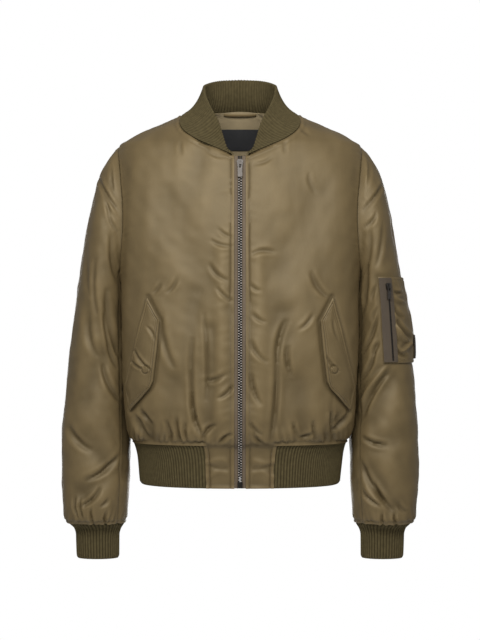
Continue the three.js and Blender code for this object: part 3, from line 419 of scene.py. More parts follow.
# Lights: name, place in metres, turn in degrees, size in metres and power in watts
LIGHTS = (
    ("Key light", (-0.35, -1.75, 0.7), (62, 0, -11), (1.1, 0.8), 39.5),
    ("Right light", (0.7, -1.75, 0.7), (63, 0, 20), (0.8, 0.8), 21),
    ("Left light", (-2.8, -1.5, 0.2), (84, 0, -62), (1.0, 1.4), 4),
    ("Back light", (0.0, 3.2, -0.5), (-93, 0, 0), (2.6, 1.6), 60),
)
ROOM_LIGHT = 0.3
CAMERA_Z = -0.340
SENSOR_HEIGHT = 36
LENS_PER_METRE = 33.1
FLOOR_RADIUS = 1.3


# Number helpers
def mix(a, b, share):
    return a + (b - a) * share


def smooth(value, low, high):
    share = np.clip((value - low) / (high - low), 0, 1)
    return share * share * (3 - 2 * share)


def unit(vectors):
    return vectors / np.maximum(np.linalg.norm(vectors, axis=-1, keepdims=True), 1e-9)


def bell(distance, spread):
    return np.exp(-((distance / spread) ** 2))


def mirrored(side, *fields):
    """Points or directions made for the right side, turned over for the left one when side is -1."""
    return tuple(field * np.array([side, 1, 1]) for field in fields)


def way_along(points):
    """How far along a line of points each of them is."""
    return np.concatenate([[0], np.cumsum(np.linalg.norm(np.diff(points, axis=0), axis=-1))])


def resampled(at, way, values):
    """Points or directions along a line, read at other places of its way."""
    return np.stack([np.interp(at, way, values[:, k]) for k in range(3)], -1)


def curve(rows):
    """A table read as smooth curves that never swing past its rows."""
    table = np.array(rows, float)
    at, values = table[:, 0], table[:, 1:]
    rise = np.diff(values, axis=0) / np.diff(at)[:, None]
    product = rise[:-1] * rise[1:]
    total = rise[:-1] + rise[1:]
    inner = np.where(product > 0, 2 * product / np.where(total == 0, 1, total), 0)
    slopes = np.vstack([rise[:1], inner, rise[-1:]])

    def read(value):
        value = np.asarray(value, float)
        i = np.clip(np.searchsorted(at, value, side="right") - 1, 0, len(at) - 2)
        span = (at[i + 1] - at[i])[..., None]
        s = np.clip((value - at[i])[..., None] / span, 0, 1)
        a, b = values[i], values[i + 1]
        start = slopes[i] * span - (b - a)
        end = b - a - slopes[i + 1] * span
        return mix(a, b, s) + s * (1 - s) * mix(start, end, s)

    return read


# Uneven cloth: folds, the ripples along seams and the padding's lumps
def fold_depth(table, x, z):
    """How deep a table's folds press the cloth in at places seen from the front or the back."""
    depth = np.zeros(np.shape(x))
    for x1, z1, x2, z2, bow, spread, deep in table:
        length = np.hypot(x2 - x1, z2 - z1)
        ux, uz = (x2 - x1) / length, (z2 - z1) / length
        along = (x - x1) * ux + (z - z1) * uz
        share = np.clip(along / length, 0, 1)
        across = (x - x1) * uz - (z - z1) * ux - bow * 4 * share * (1 - share)
        depth += deep * bell(np.hypot(across, along - share * length), spread)
    return depth


def crease_depth(table, x, z):
    """Creases are folds that taper to their ends, with a low ridge beside each trough."""
    depth = np.zeros(np.shape(x))
    for x1, z1, x2, z2, bow, width, deep in table:
        spread = CREASE_WIDTH * width
        length = np.hypot(x2 - x1, z2 - z1)
        ux, uz = (x2 - x1) / length, (z2 - z1) / length
        along = (x - x1) * ux + (z - z1) * uz
        share = np.clip(along / length, 0, 1)
        across = (x - x1) * uz - (z - z1) * ux - bow * 4 * share * (1 - share)
        taper = 0.3 + 0.7 * np.sin(np.pi * share) ** 0.7
        away = np.hypot(across, (along - share * length) * 1.3)
        beside = bell(np.abs(across) - 1.5 * spread, 0.9 * spread)
        shoulder = beside * bell(along - share * length, 2 * spread)
        depth += deep * taper * (bell(away, spread * (0.5 + 0.3 * taper)) - 0.4 * shoulder)
    return depth * mix(*CREASE_SHARE, smooth(-z, *CREASE_GROWS))


def ripples(along, away, pitch, reach, seed):
    """Uneven ripples from -1 to 1 that a seam draws up, by mm along it and mm away from it."""
    phase = np.random.default_rng(seed).uniform(0, 2 * np.pi, 4)
    turns = 2 * np.pi * (along + 0.25 * away) / pitch
    wave = np.sin(turns + 1.4 * np.sin(turns / 3.7 + phase[0]) + phase[1])
    swell = 0.55 + 0.3 * np.sin(turns / 5.3 + phase[2]) + 0.15 * np.sin(turns / 2.3 + phase[3])
    return wave * swell * np.exp(-away / reach)


@functools.lru_cache(maxsize=None)
def lump_waves(seed, shortest, longest, count):
    """Directions, phases and lengths of the waves that lumps are the sum of."""
    chance = np.random.default_rng(seed)
    lengths = np.exp(chance.uniform(np.log(shortest), np.log(longest), count))
    ways = unit(chance.normal(size=(count, 3)))
    return ways * (2 * np.pi / lengths)[:, None], chance.uniform(0, 2 * np.pi, count), lengths


def lumps(points, seed, shortest, longest, count=16):
    """Soft unevenness of about 1 mm, without a repeat."""
    ways, phases, lengths = lump_waves(seed, shortest, longest, count)
    waves = np.sin(points @ ways.T + phases) * (lengths / longest)
    return waves.sum(-1) / np.sqrt((lengths / longest).sum())


def drape(points, seed):
    """Long soft folds that hang down the cloth."""
    return lumps(points * (1, 1, 0.17), seed, 26, 85)


def least_distance(points, line):
    """How far each point of a grid is from the nearest point of a line."""
    parts = np.array_split(points.reshape(-1, points.shape[-1]), 60)
    found = [np.linalg.norm(part[:, None] - line[None], axis=-1).min(axis=1) for part in parts]
    return np.concatenate(found).reshape(points.shape[:-1])


def nearest(points, line):
    """How far each point of a grid is from a line, which is read in four steps between its points."""
    at = np.linspace(0, len(line) - 1, 4 * len(line))
    return least_distance(points, resampled(at, np.arange(len(line)), line))


# Body surface: t is degrees round the body, 0 at the zip, 90 at the right side, 180 at the back
body_section = curve(BODY)


def body_base(t, z):
    """Plain form of the body, from its table of level sections."""
    t, z = np.broadcast_arrays(np.asarray(t, float), np.asarray(z, float))
    side = np.where(t > 180, -1.0, 1.0)
    turn = np.where(t > 180, 360 - t, t)
    half, front, back, hollow, square = np.moveaxis(body_section(z), -1, 0)
    angle = np.radians(turn)
    shift = square * np.sin(2 * angle)
    near = np.clip(1 - np.abs(turn - HOLLOW_AT) / HOLLOW_SPREAD, 0, None)
    x = half * np.sin(angle + shift) - hollow * np.sin(near * np.pi / 2) ** 2
    reach = np.where(turn < 90, front, back)
    return np.stack([side * x, -reach * np.cos(angle - shift), z], -1)


def body_normal(t, z):
    around = body_base(t + 0.5, z) - body_base(t - 0.5, z)
    up = body_base(t, z + 1) - body_base(t, z - 1)
    normal = np.cross(around, up)
    normal[..., 2] = np.where(np.broadcast_to(z, normal.shape[:-1]) <= HEM_Z, 0, normal[..., 2])
    return unit(normal)


def body_turn_at(x, z, low=0.0, high=90.0):
    """The turn at a place seen from the front, or from the back with low 180 and high 90."""
    x, z = np.broadcast_arrays(np.asarray(x, float), np.asarray(z, float))
    low, high = np.full(x.shape, low), np.full(x.shape, high)
    for _ in range(32):
        middle = (low + high) / 2
        nearer = body_base(middle, z)[..., 0] < x
        low, high = np.where(nearer, middle, low), np.where(nearer, high, middle)
    return (low + high) / 2


def armhole(turn):
    """Edge of the armhole by degrees round the sleeve: 0 at the shoulder, 90 at the back."""
    angle = np.radians(turn)
    z = (SHOULDER_Z + UNDERARM_Z) / 2 + (SHOULDER_Z - UNDERARM_Z) / 2 * np.cos(angle)
    sideways = np.sin(angle)
    bite = np.where(sideways > 0, ARMHOLE_BACK, ARMHOLE_FRONT) * np.abs(sideways) ** ARMHOLE_ROUNDNESS
    return 90 + np.sign(sideways) * bite, z


def evenly(t, z, count):
    """A line over the body in evenly long steps, with its last point left to the next line."""
    way = way_along(body_base(t, z))
    at = np.linspace(0, way[-1], count, endpoint=False)
    return np.interp(at, way, t), np.interp(at, way, z)


def side_edge(front):
    """Turn and height of a panel's side edge, from the hem up the side, round the armhole, to the neck."""
    below = np.linspace(HEM_Z, UNDERARM_Z, 88, endpoint=False)
    hole_t, hole_z = evenly(*armhole(np.linspace(180, 360 if front else 0, 900)), 100)
    shoulder = np.linspace(SHOULDER_Z, NECK_SIDE_Z, 26)
    t = np.concatenate([np.full(len(below), 90.0), hole_t, np.full(len(shoulder), 90.0)])
    return t, np.concatenate([below, hole_z, shoulder])


def front_place(share, edge_t, edge_z, rise):
    """Turn and height on a front: share is the way from the zip to the side edge, rise from hem to neck."""
    zip_z = mix(HEM_Z, NECK_FRONT_Z, rise)
    power = mix(1.0, FRONT_ROW_POWER, smooth(rise, 0.35, 0.8))
    edge_drop = np.clip((90 - edge_t) / (90 - ZIP_TURN), 0, 1) ** power
    drop = np.clip((90 - mix(ZIP_TURN, edge_t, share)) / (90 - ZIP_TURN), 0, 1) ** power
    z = edge_z - (edge_z - zip_z) * (drop - edge_drop) / (1 - edge_drop)
    return mix(body_turn_at(ZIP_EDGE_X, z), edge_t, share), z


def back_place(share, edge_t, edge_z, rise):
    """Turn and height on the back: share goes from the right side edge (-1) to the left one (1)."""
    middle_z = mix(HEM_Z, NECK_BACK_Z, rise)
    power = mix(1.3, 2.0, smooth(rise, 0.5, 1))
    return 180 + share * (180 - edge_t), mix(middle_z, edge_z, np.abs(share) ** power)


def edge_ways(points):
    """How far each point of a grid is from its first and last rows and columns."""
    up = np.linalg.norm(np.diff(points, axis=0), axis=-1)
    across = np.linalg.norm(np.diff(points, axis=1), axis=-1)
    rows = np.vstack([np.zeros((1, points.shape[1])), np.cumsum(up, axis=0)])
    columns = np.hstack([np.zeros((points.shape[0], 1)), np.cumsum(across, axis=1)])
    return rows, rows[-1:] - rows, columns, columns[:, -1:] - columns


def from_edges(points):
    """How far each point of a grid is from the nearest of its four edges."""
    return np.minimum.reduce(edge_ways(points))


def flap_cover(x, z):
    """1 where a flap lies on the front and 0 away from it."""
    table = np.array(FLAP_EDGES, float)
    inner = np.interp(-z, -table[:, 3], table[:, 2])
    outer = np.interp(-z, -table[:, 1], table[:, 0])
    beside = smooth(x, inner - 9, inner) * (1 - smooth(x, outer, outer + 9))
    return beside * smooth(z, -496, -488) * (1 - smooth(z, -312, -300))


def beside_flap(x, z):
    """How far places on the front, seen from the front, are from a flap's edges."""
    table = np.array(FLAP_EDGES, float)
    ring = np.vstack([table[:, :2], table[::-1, 2:], table[:1, :2]])
    steps = np.linspace(0, 1, 24)[:, None]
    line = np.vstack([mix(a, b, steps) for a, b in zip(ring[:-1], ring[1:])])
    return least_distance(np.stack([x, z], -1), line)


def above_hem(z):
    """0 on the hem seam and 1 from a little above it."""
    return smooth(z, HEM_Z, HEM_Z + HEM_RISE)


def seam_ripples(along, away, seed):
    """Ripples beside the seams of the body's panels, by mm along a seam and mm away from it."""
    return 0.9 * ripples(along, away, 14, 12, seed) * smooth(away, 0, 4)


def hem_roll(low):
    """The cloth's roll on the rib's seam and the dip above it, by mm from the seam."""
    return 2.0 * (1 - smooth(low, 2.4, 4.2)) - 3.2 * bell(low - 6.0, 2.2)


def front_relief(side, base):
    """How far a front's cloth stands out of its plain form."""
    x, z = side * base[..., 0], base[..., 2]
    covered = flap_cover(base[..., 0], z)
    rising = above_hem(z)
    fade = (1 - smooth(base[..., 0], *FOLD_END_X)) * rising
    low, high, zipped, _ = edge_ways(base)
    sided = nearest(base, base[:, -1])
    relief = -fold_depth(FRONT_FOLDS, x, z) * fade
    relief -= crease_depth(FRONT_CREASES, x, z) * rising * (1 - 0.8 * covered)
    padding = 0.9 * lumps(base, 3 + side, 45, 130) + 0.3 * lumps(base, 9 + side, 16, 40)
    relief += padding * (1 - covered) * rising
    relief += 1.1 * drape(base, 13 + side) * (1 - covered) * rising * smooth(sided, 0, 20)
    relief -= 2.4 * bell(beside_flap(base[..., 0], z) - 1.5, 3.0)
    gathers = HEM_GATHERS * ripples(zipped + 40 * side, low, 14, 17, 20 + side)
    relief += gathers * smooth(low, 3, 11) * smooth(zipped, 10, 50)
    relief += 0.8 * ripples(low, zipped, 17, 13, 30 + side) * smooth(zipped, 5, 12) * rising
    relief += seam_ripples(low, sided, 40 + side) * rising
    relief += 0.7 * ripples(zipped, high, 13, 11, 50 + side) * smooth(high, 0, 4)
    relief *= smooth(sided, 0, 9)
    seam = mix(*ARMHOLE_SEAM, 1 - smooth(z, *ARMHOLE_SEAM_Z))
    relief -= seam * bell(sided, SEAM_WIDTH) * rising + 1.4 * bell(high, SEAM_WIDTH)
    relief += 0.8 * bell(high - 4.6, 1.8) - 1.1 * bell(high - 8.2, 1.6)
    relief += 1.0 * (1 - smooth(zipped, 5.0, 6.6)) - 1.3 * bell(zipped - 6.8, 1.2)
    return relief + smooth(zipped, 44, 50) * hem_roll(low)


@functools.lru_cache(maxsize=None)
def front_grid(side):
    """Points, normals and plain form of a front, and its tab, in rows from the hem up."""
    edge_t, edge_z = side_edge(True)
    above_tab = np.linspace(0, TAB_SHARE, TAB_COLUMNS)
    share = np.concatenate([above_tab, np.linspace(TAB_SHARE, 1, FRONT_COLUMNS)[1:]])
    rise = np.linspace(0, 1, len(edge_t))[:, None]
    t, z = front_place(share[None, :], edge_t[:, None], edge_z[:, None], rise)
    base, normals = body_base(t, z), body_normal(t, z)
    points = base + normals * front_relief(side, base)[..., None]
    return mirrored(side, points, normals, base)


@functools.lru_cache(maxsize=None)
def tab_grid(side):
    """The square tab at a front's foot: crumpled across, with a stitched turning along its free edges."""
    z = np.linspace(TAB_FOOT_Z, HEM_Z, TAB_ROWS)[:, None]
    share = np.linspace(0, TAB_SHARE, TAB_COLUMNS)[None, :]
    t = mix(body_turn_at(ZIP_EDGE_X, z), 90.0, share)
    z = np.broadcast_to(z, t.shape)
    base, normals = body_base(t, z), body_normal(t, z)
    low, high, zipped, sided = edge_ways(base)
    relief = 0.8 * lumps(base, 61 + side, 14, 44) * smooth(high, 0, 6) * smooth(low, 0, 8)
    relief += 2.2 * bell(low - 44 - 3 * np.sin(zipped / 9 + side), 5) * smooth(zipped, 6, 16)
    relief -= 1.8 * bell(low - 36 + 4 * np.sin(zipped / 11), 3.5) * smooth(zipped, 6, 16)
    relief += 1.2 * bell(low - 24 + 5 * np.sin(zipped / 8 + 2), 4) * smooth(zipped, 6, 16)
    relief += 0.8 * (1 - smooth(low, 5.0, 6.4)) - 1.2 * bell(low - 6.6, 1.1)
    relief += 0.9 * (1 - smooth(zipped, 5.0, 6.6)) - 1.3 * bell(zipped - 6.8, 1.2)
    relief += 1.6 * (1 - smooth(sided, 4.4, 5.8)) - 1.5 * bell(sided - 6.2, 1.2)
    relief *= smooth(high, 0, 3)
    return mirrored(side, base + normals * relief[..., None], normals, base)


@functools.lru_cache(maxsize=None)
def back_grid():
    """Points, normals and plain form of the back, in rows from the hem up."""
    edge_t, edge_z = side_edge(False)
    share = np.linspace(-1, 1, BACK_COLUMNS)
    rise = np.linspace(0, 1, len(edge_t))[:, None]
    t, z = back_place(share[None, :], edge_t[:, None], edge_z[:, None], rise)
    base, normals = body_base(t, z), body_normal(t, z)
    x = base[..., 0]
    rising = above_hem(z)
    fade = (1 - smooth(np.abs(x), *FOLD_END_X)) * rising
    low, high, across, _ = edge_ways(base)
    right, left = nearest(base, base[:, 0]), nearest(base, base[:, -1])
    relief = -fold_depth(BACK_FOLDS, x, z) * fade - crease_depth(BACK_CREASES, x, z) * rising
    relief += 1.1 * drape(base, 15) * rising * smooth(np.minimum(right, left), 0, 20)
    relief += (0.9 * lumps(base, 5, 45, 130) + 0.35 * lumps(base, 6, 16, 40)) * rising
    relief += HEM_GATHERS * ripples(across, low, 14, 17, 71) * smooth(low, 3, 11)
    relief += seam_ripples(low, right, 72) * rising
    relief += seam_ripples(low, left, 73) * rising
    relief += 0.7 * ripples(right, high, 13, 11, 74) * smooth(high, 0, 4)
    relief *= smooth(np.minimum(right, left), 0, 9)
    seam = mix(*ARMHOLE_SEAM, 1 - smooth(z, *ARMHOLE_SEAM_Z))
    sides = bell(right, SEAM_WIDTH) + bell(left, SEAM_WIDTH)
    relief -= seam * sides * rising + 1.4 * bell(high, SEAM_WIDTH)
    relief += hem_roll(low)
    return base + normals * relief[..., None], normals, base


# Sleeve surface of the right side: turn is degrees round it, 0 at its outer edge and 90 at the back
sleeve_section = curve(SLEEVE)
LAST_RING = len(SLEEVE) - 1


def sleeve_base(turn, ring):
    """Plain form of the right sleeve from its table of rings, below the armhole."""
    turn, ring = np.broadcast_arrays(np.asarray(turn, float), np.asarray(ring, float))
    in_x, in_z, out_x, out_z, mid_y, depth = np.moveaxis(sleeve_section(ring), -1, 0)
    angle = np.radians(turn)
    shift = SLEEVE_SQUARE * np.sin(2 * angle)
    out = np.cos(angle - shift)
    x = (in_x + out_x) / 2 + (out_x - in_x) / 2 * out
    z = (in_z + out_z) / 2 + (out_z - in_z) / 2 * out
    return np.stack([x, mid_y + depth * np.sin(angle + shift), z], -1)


def sleeve_normal(turn, ring):
    turn, ring = np.broadcast_arrays(np.asarray(turn, float), np.asarray(ring, float))
    around = sleeve_base(turn + 2, ring) - sleeve_base(turn - 2, ring)
    low, high = np.maximum(0.5, ring - 0.25), np.minimum(LAST_RING, ring + 0.25)
    normal = np.cross(sleeve_base(turn, high) - sleeve_base(turn, low), around)
    normal[..., 2] = np.where(ring >= LAST_RING, 0, normal[..., 2])
    return unit(normal)


def armhole_edge(turn):
    """Points and normals where the sleeve meets the armhole, one seam gap out from the panels."""
    t, z = armhole(turn)
    normal = body_normal(t, z)
    along = body_base(*armhole(turn + 2)) - body_base(*armhole(turn - 2))
    return body_base(t, z) + unit(np.cross(along, normal)) * SEAM_GAP, normal


def sleeve_form(turn, ring):
    """Plain form of the sleeve: between the armhole's edge and the first ring it is blended."""
    turn, ring = np.broadcast_arrays(np.asarray(turn, float), np.asarray(ring, float))
    edge, edge_normal = armhole_edge(turn)
    first = np.clip(ring, 0, 1)[..., None]
    onward = np.maximum(ring, 1)
    points = mix(edge, sleeve_base(turn, onward), first)
    normals = unit(mix(edge_normal, sleeve_normal(turn, onward), first))
    return points, normals


def sleeve_folded(side, turn, ring):
    """The sleeve with its large folds, which the pocket is laid on."""
    points, normals = sleeve_form(turn, ring)
    facing = smooth(-np.sin(np.radians(turn)), -0.1, 0.6)
    depth = fold_depth(SLEEVE_FOLDS, side * points[..., 0], points[..., 2]) * facing
    return points - normals * depth[..., None], normals


def pocket_cover(turn, z):
    """1 where the pocket lies on the sleeve and 0 away from it."""
    turn = (turn + 180) % 360 - 180
    around = smooth(turn, -103, -95) * (1 - smooth(turn, 16, 24))
    top, foot = POCKET["z"]
    return around * smooth(z, foot - 8, foot) * (1 - smooth(z, top, top + 8))


def sleeve_ring_at(turn, z):
    """The ring on which the sleeve reaches a height at a turn."""
    turn, z = np.broadcast_arrays(np.asarray(turn, float), np.asarray(z, float))
    low, high = np.ones(z.shape), np.full(z.shape, float(LAST_RING))
    for _ in range(32):
        middle = (low + high) / 2
        above = sleeve_base(turn, middle)[..., 2] > z
        low, high = np.where(above, middle, low), np.where(above, high, middle)
    return (low + high) / 2


def sleeve_rings():
    """Rings of the sleeve down to the cuff's seam, about one grid step from each other."""
    lengths = [
        np.linalg.norm(sleeve_base(-45.0, ring + 1.0) - sleeve_base(-45.0, float(ring)))
        for ring in range(LAST_RING)
    ]
    steps = [max(4, round(length / GRID_STEP)) for length in lengths]
    parts = [np.linspace(ring, ring + 1, count, endpoint=False) for ring, count in enumerate(steps)]
    rings = np.concatenate(parts)
    return np.append(rings[rings < CUFF_RING - 0.05], CUFF_RING)


@functools.lru_cache(maxsize=None)
def sleeve_grid(side, under):
    """Points, normals and plain form of an upper or under sleeve, in rows from the armhole down."""
    start, end = UNDER_SLEEVE if under else (UNDER_SLEEVE[1] - 360, UNDER_SLEEVE[0])
    turn = np.linspace(start, end, UNDER_COLUMNS if under else UPPER_COLUMNS)[None, :]
    ring = sleeve_rings()[:, None]
    base, normals = sleeve_form(turn, ring)
    points, _ = sleeve_folded(side, turn, ring)
    x, z = side * base[..., 0], base[..., 2]
    fronted = smooth(-np.sin(np.radians(turn)), -0.05, 0.4)
    backed = smooth(np.sin(np.radians(turn)), -0.05, 0.4)
    covered = pocket_cover(turn, base[..., 2]) if side > 0 else np.zeros(base.shape[:2])
    top, foot, first, last = edge_ways(base)
    relief = -crease_depth(SLEEVE_CREASES, x, z) * fronted * (1 - covered)
    relief -= crease_depth(SLEEVE_BACK_CREASES, x, z) * backed * (1 - covered)
    seed = 80 + 2 * side + under
    relief += (0.9 * lumps(base, seed, 40, 120) + 0.35 * lumps(base, seed + 1, 15, 38)) * (1 - covered)
    relief += 1.2 * drape(base, seed + 6) * (1 - covered) * smooth(top, 0, 20) * smooth(foot, 0, 30)
    relief += 2.4 * ripples(first, foot, 13, 14, seed + 2) * smooth(foot, 1, 8)
    relief += 0.9 * (1 - smooth(foot, 2.2, 3.6)) - 1.6 * bell(foot - 5.2, 2.0)
    relief += 0.9 * ripples(first, top, 13, 14, seed + 3) * smooth(top, 0, 4)
    relief += 0.8 * ripples(top, first, 15, 10, seed + 4) * smooth(first, 0, 4)
    relief += 0.8 * ripples(top, last, 15, 10, seed + 5) * smooth(last, 0, 4)
    relief *= smooth(np.minimum(top, np.minimum(first, last)), 0, 9)
    inward = smooth(-np.cos(np.radians(turn)), 0.3, 0.9)
    relief += 3.0 * bell(z - CLOSE_Z, 24) * inward
    seam = mix(*SLEEVE_HEAD_SEAM, smooth(z, *ARMHOLE_SEAM_Z))
    lengthwise = bell(first, SEAM_WIDTH) + bell(last, SEAM_WIDTH)
    relief -= seam * bell(top, SEAM_WIDTH) + 1.4 * lengthwise
    return mirrored(side, points + normals * relief[..., None], normals, base)


def sleeve_patch(patch, rows, columns):
    """Turns and heights of a piece laid on the sleeve, from its top row down."""
    down = np.linspace(0, 1, rows)[:, None]
    across = np.linspace(0, 1, columns)[None, :]
    start = mix(patch["top"][0], patch["foot"][0], down)
    end = mix(patch["top"][1], patch["foot"][1], down)
    return mix(start, end, across), np.broadcast_to(mix(*patch["z"], down), (rows, columns))


def pocket_bulge(turn, z):
    """How far the sleeve pocket puffs out: 0 along its edges and most below its middle."""
    start, end = POCKET["top"][0], POCKET["foot"][1]
    around = np.clip((turn - start) / (end - start), 0, 1)
    top, foot = POCKET["z"]
    along = np.clip((top - z) / (top - foot), 0, 1)
    return POCKET_BULGE * np.sin(np.pi * around**1.6) * np.sin(np.pi * along**1.5)


# Meshes
def only(piece):
    """Selects one object and makes it the active one."""
    bpy.ops.object.select_all(action="DESELECT")
    piece.select_set(True)
    bpy.context.view_layer.objects.active = piece


def apply_modifiers(piece):
    only(piece)
    for modifier in list(piece.modifiers):
        bpy.ops.object.modifier_apply(modifier=modifier.name)


def reshape(operator, **settings):
    """Runs one edit operator on the whole of the active mesh."""
    bpy.ops.object.mode_set(mode="EDIT")
    bpy.ops.mesh.select_all(action="SELECT")
    operator(**settings)
    bpy.ops.object.mode_set(mode="OBJECT")


def round_edges(piece, width, segments):
    rounded = piece.modifiers.new("Rounded", "BEVEL")
    rounded.width, rounded.segments = width, segments
    apply_modifiers(piece)


def grid_faces(rows, columns, flip, first):
    corner = first + (np.arange(rows - 1)[:, None] * columns + np.arange(columns - 1)[None, :])
    faces = np.stack([corner, corner + 1, corner + columns + 1, corner + columns], -1).reshape(-1, 4)
    return faces[:, ::-1] if flip else faces


def faces_inwards(points, normals):
    i, j = points.shape[0] // 2, points.shape[1] // 2
    across, up = points[i, j + 1] - points[i, j - 1], points[i + 1, j] - points[i - 1, j]
    return np.dot(np.cross(across, up), normals[i, j]) < 0


def mesh_piece(name, points, faces, spread, finishes, shares):
    """An object from points in mm and faces, with each point's place on the cloth as its UV, in metres.

    Shares are how high each point stands on its crease or rib, from 0 to 1, for finishes that paint shade and
    light by it.
    """
    mesh = bpy.data.meshes.new(name)
    mesh.from_pydata((np.asarray(points) * MM).tolist(), [], np.asarray(faces).tolist())
    corners = np.empty(len(mesh.loops), int)
    mesh.loops.foreach_get("vertex_index", corners)
    layer = mesh.uv_layers.new(name="Cloth")
    layer.data.foreach_set("uv", (np.asarray(spread)[corners] * MM).ravel())
    # Heights on creases and ribs, kept for the painted shade and light of the finishes
    if shares is not None:
        mesh.attributes.new("Relief", "FLOAT", "POINT").data.foreach_set("value", shares)
    for material in finishes:
        mesh.materials.append(material)
    piece = bpy.data.objects.new(name, mesh)
    bpy.context.scene.collection.objects.link(piece)
    return piece


def painted_crease_shade(grids):
    """0 deep in a crease and 1 on top of a ridge, for each point of a piece's grids: the share that sets
    painted shade in the creases and painted light on the ridges.
    """
    shares = []
    for points, normals, base in grids:
        # Height against the blurred heights around it, which sets the painted shade in creases and painted
        # light on ridges
        depth = ((points - base) * normals).sum(-1)
        around = depth
        for _ in range(BLUR_STEPS):
            padded = np.pad(around, 1, mode="edge")
            around = padded[:-2, 1:-1] + padded[2:, 1:-1] + padded[1:-1, :-2] + padded[1:-1, 2:]
            around = around / 4
        shares.append(smooth(depth - around, -PAINTED_SHADE_DEPTH, PAINTED_SHADE_DEPTH).ravel())
    return np.concatenate(shares)


def cloth_piece(name, grids, wall, finishes, smooth_angle=55, shares=None):
    """A sewn piece from one or more grids of (points, normals, plain form), thickened inwards."""
    points, faces, spread, count = [], [], [], 0
    for grid_points, normals, base in grids:
        rows, _, columns, _ = edge_ways(base)
        flip = faces_inwards(grid_points, normals)
        points.append(grid_points.reshape(-1, 3))
        spread.append(np.stack([columns, rows], -1).reshape(-1, 2))
        faces.append(grid_faces(*grid_points.shape[:2], flip, count))
        count += grid_points.shape[0] * grid_points.shape[1]
    piece = mesh_piece(name, np.vstack(points), np.vstack(faces), np.vstack(spread), finishes, shares)
    only(piece)
    reshape(bpy.ops.mesh.remove_doubles, threshold=0.02 * MM)
    if wall:
        thick = piece.modifiers.new("Wall", "SOLIDIFY")
        thick.thickness = wall * MM
        thick.offset = -1
        thick.material_offset = len(finishes) - 1
        thick.material_offset_rim = 0
        apply_modifiers(piece)
    only(piece)
    bpy.ops.object.shade_smooth_by_angle(angle=np.radians(smooth_angle))
    return piece


def sew_on(piece, node):
    """The piece stands for its CAD node, which is hidden, and hangs from the root."""
    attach(piece, "root")
    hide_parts(node)


def copies(name, source, places, axes, finish):
    """One mesh of many copies of a small shape in mm, at places, turned to the axes given."""
    corners = np.array([vertex.co[:] for vertex in source.vertices])
    shapes = [list(face.vertices) for face in source.polygons]
    points = np.einsum("nk,mkc->mnc", corners, axes) + places[:, None, :]
    faces = [[i + len(corners) * n for i in face] for n in range(len(places)) for face in shapes]
    mesh = bpy.data.meshes.new(name)
    mesh.from_pydata((points.reshape(-1, 3) * MM).tolist(), [], faces)
    mesh.materials.append(finish)
    piece = bpy.data.objects.new(name, mesh)
    bpy.context.scene.collection.objects.link(piece)
    only(piece)
    bpy.ops.object.shade_smooth_by_angle(angle=np.radians(50))
    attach(piece, "root")
    return piece


# Finishes
def colour(rgb):
    """Linear colour from the panel's own, which Blender stores as linear already."""
    return (*rgb, 1.0)


def tinted(rgb, factor):
    return tuple(min(1.0, channel * factor) for channel in rgb)


def add_node(material, kind, inputs=None, **settings):
    made = material.node_tree.nodes.new(kind)
    for key, value in settings.items():
        setattr(made, key, value)
    for key, value in (inputs or {}).items():
        if isinstance(value, bpy.types.NodeSocket):
            material.node_tree.links.new(value, made.inputs[key])
        else:
            made.inputs[key].default_value = value
    return made


def new_finish(name, **sockets):
    material = bpy.data.materials.new(name)
    material.use_nodes = True
    shader = material.node_tree.nodes["Principled BSDF"]
    for key, value in sockets.items():
        shader.inputs[key.replace("_", " ")].default_value = value
    return material, shader


def varied_colour(material, shader, rgb, scale, spread):
    """A colour that drifts a little darker and lighter over the cloth."""
    place = add_node(material, "ShaderNodeTexCoord").outputs["Object"]
    noise = add_node(material, "ShaderNodeTexNoise", {"Vector": place, "Scale": scale, "Detail": 4.0})
    ramp = add_node(material, "ShaderNodeValToRGB", {"Fac": noise.outputs["Fac"]})
    stops = ramp.color_ramp.elements
    stops[0].position, stops[0].color = 0.3, colour(tinted(rgb, 1 - spread))
    stops[1].position, stops[1].color = 0.7, colour(tinted(rgb, 1 + spread))
    material.node_tree.links.new(ramp.outputs["Color"], shader.inputs["Base Color"])
    return ramp.outputs["Color"]


def scale_colour(material, shader, dye, share):
    """Makes the shader's colour a share of the colour given."""
    scaled = add_node(material, "ShaderNodeVectorMath", {0: dye, "Scale": share}, operation="SCALE")
    material.node_tree.links.new(scaled.outputs["Vector"], shader.inputs["Base Color"])


def paint_relief_shade(material, shader, dye, darkest, lightest):
    """Paints shade into the colour deep in creases or between ribs, and paints light onto it on top of them.
    """
    relief = add_node(material, "ShaderNodeAttribute", attribute_name="Relief").outputs["Fac"]
    ends = {"Value": relief, "To Min": darkest, "To Max": lightest}
    scale_colour(material, shader, dye, add_node(material, "ShaderNodeMapRange", ends).outputs["Result"])


def bump_from(material, shader, layers):
    """Joins height textures into the shader's normal, as pairs of a socket and a depth in metres."""
    normal = None
    for height, depth in layers:
        inputs = {"Height": height, "Distance": depth, "Strength": 1.0}
        if normal is not None:
            inputs["Normal"] = normal
        normal = add_node(material, "ShaderNodeBump", inputs).outputs["Normal"]
    material.node_tree.links.new(normal, shader.inputs["Normal"])


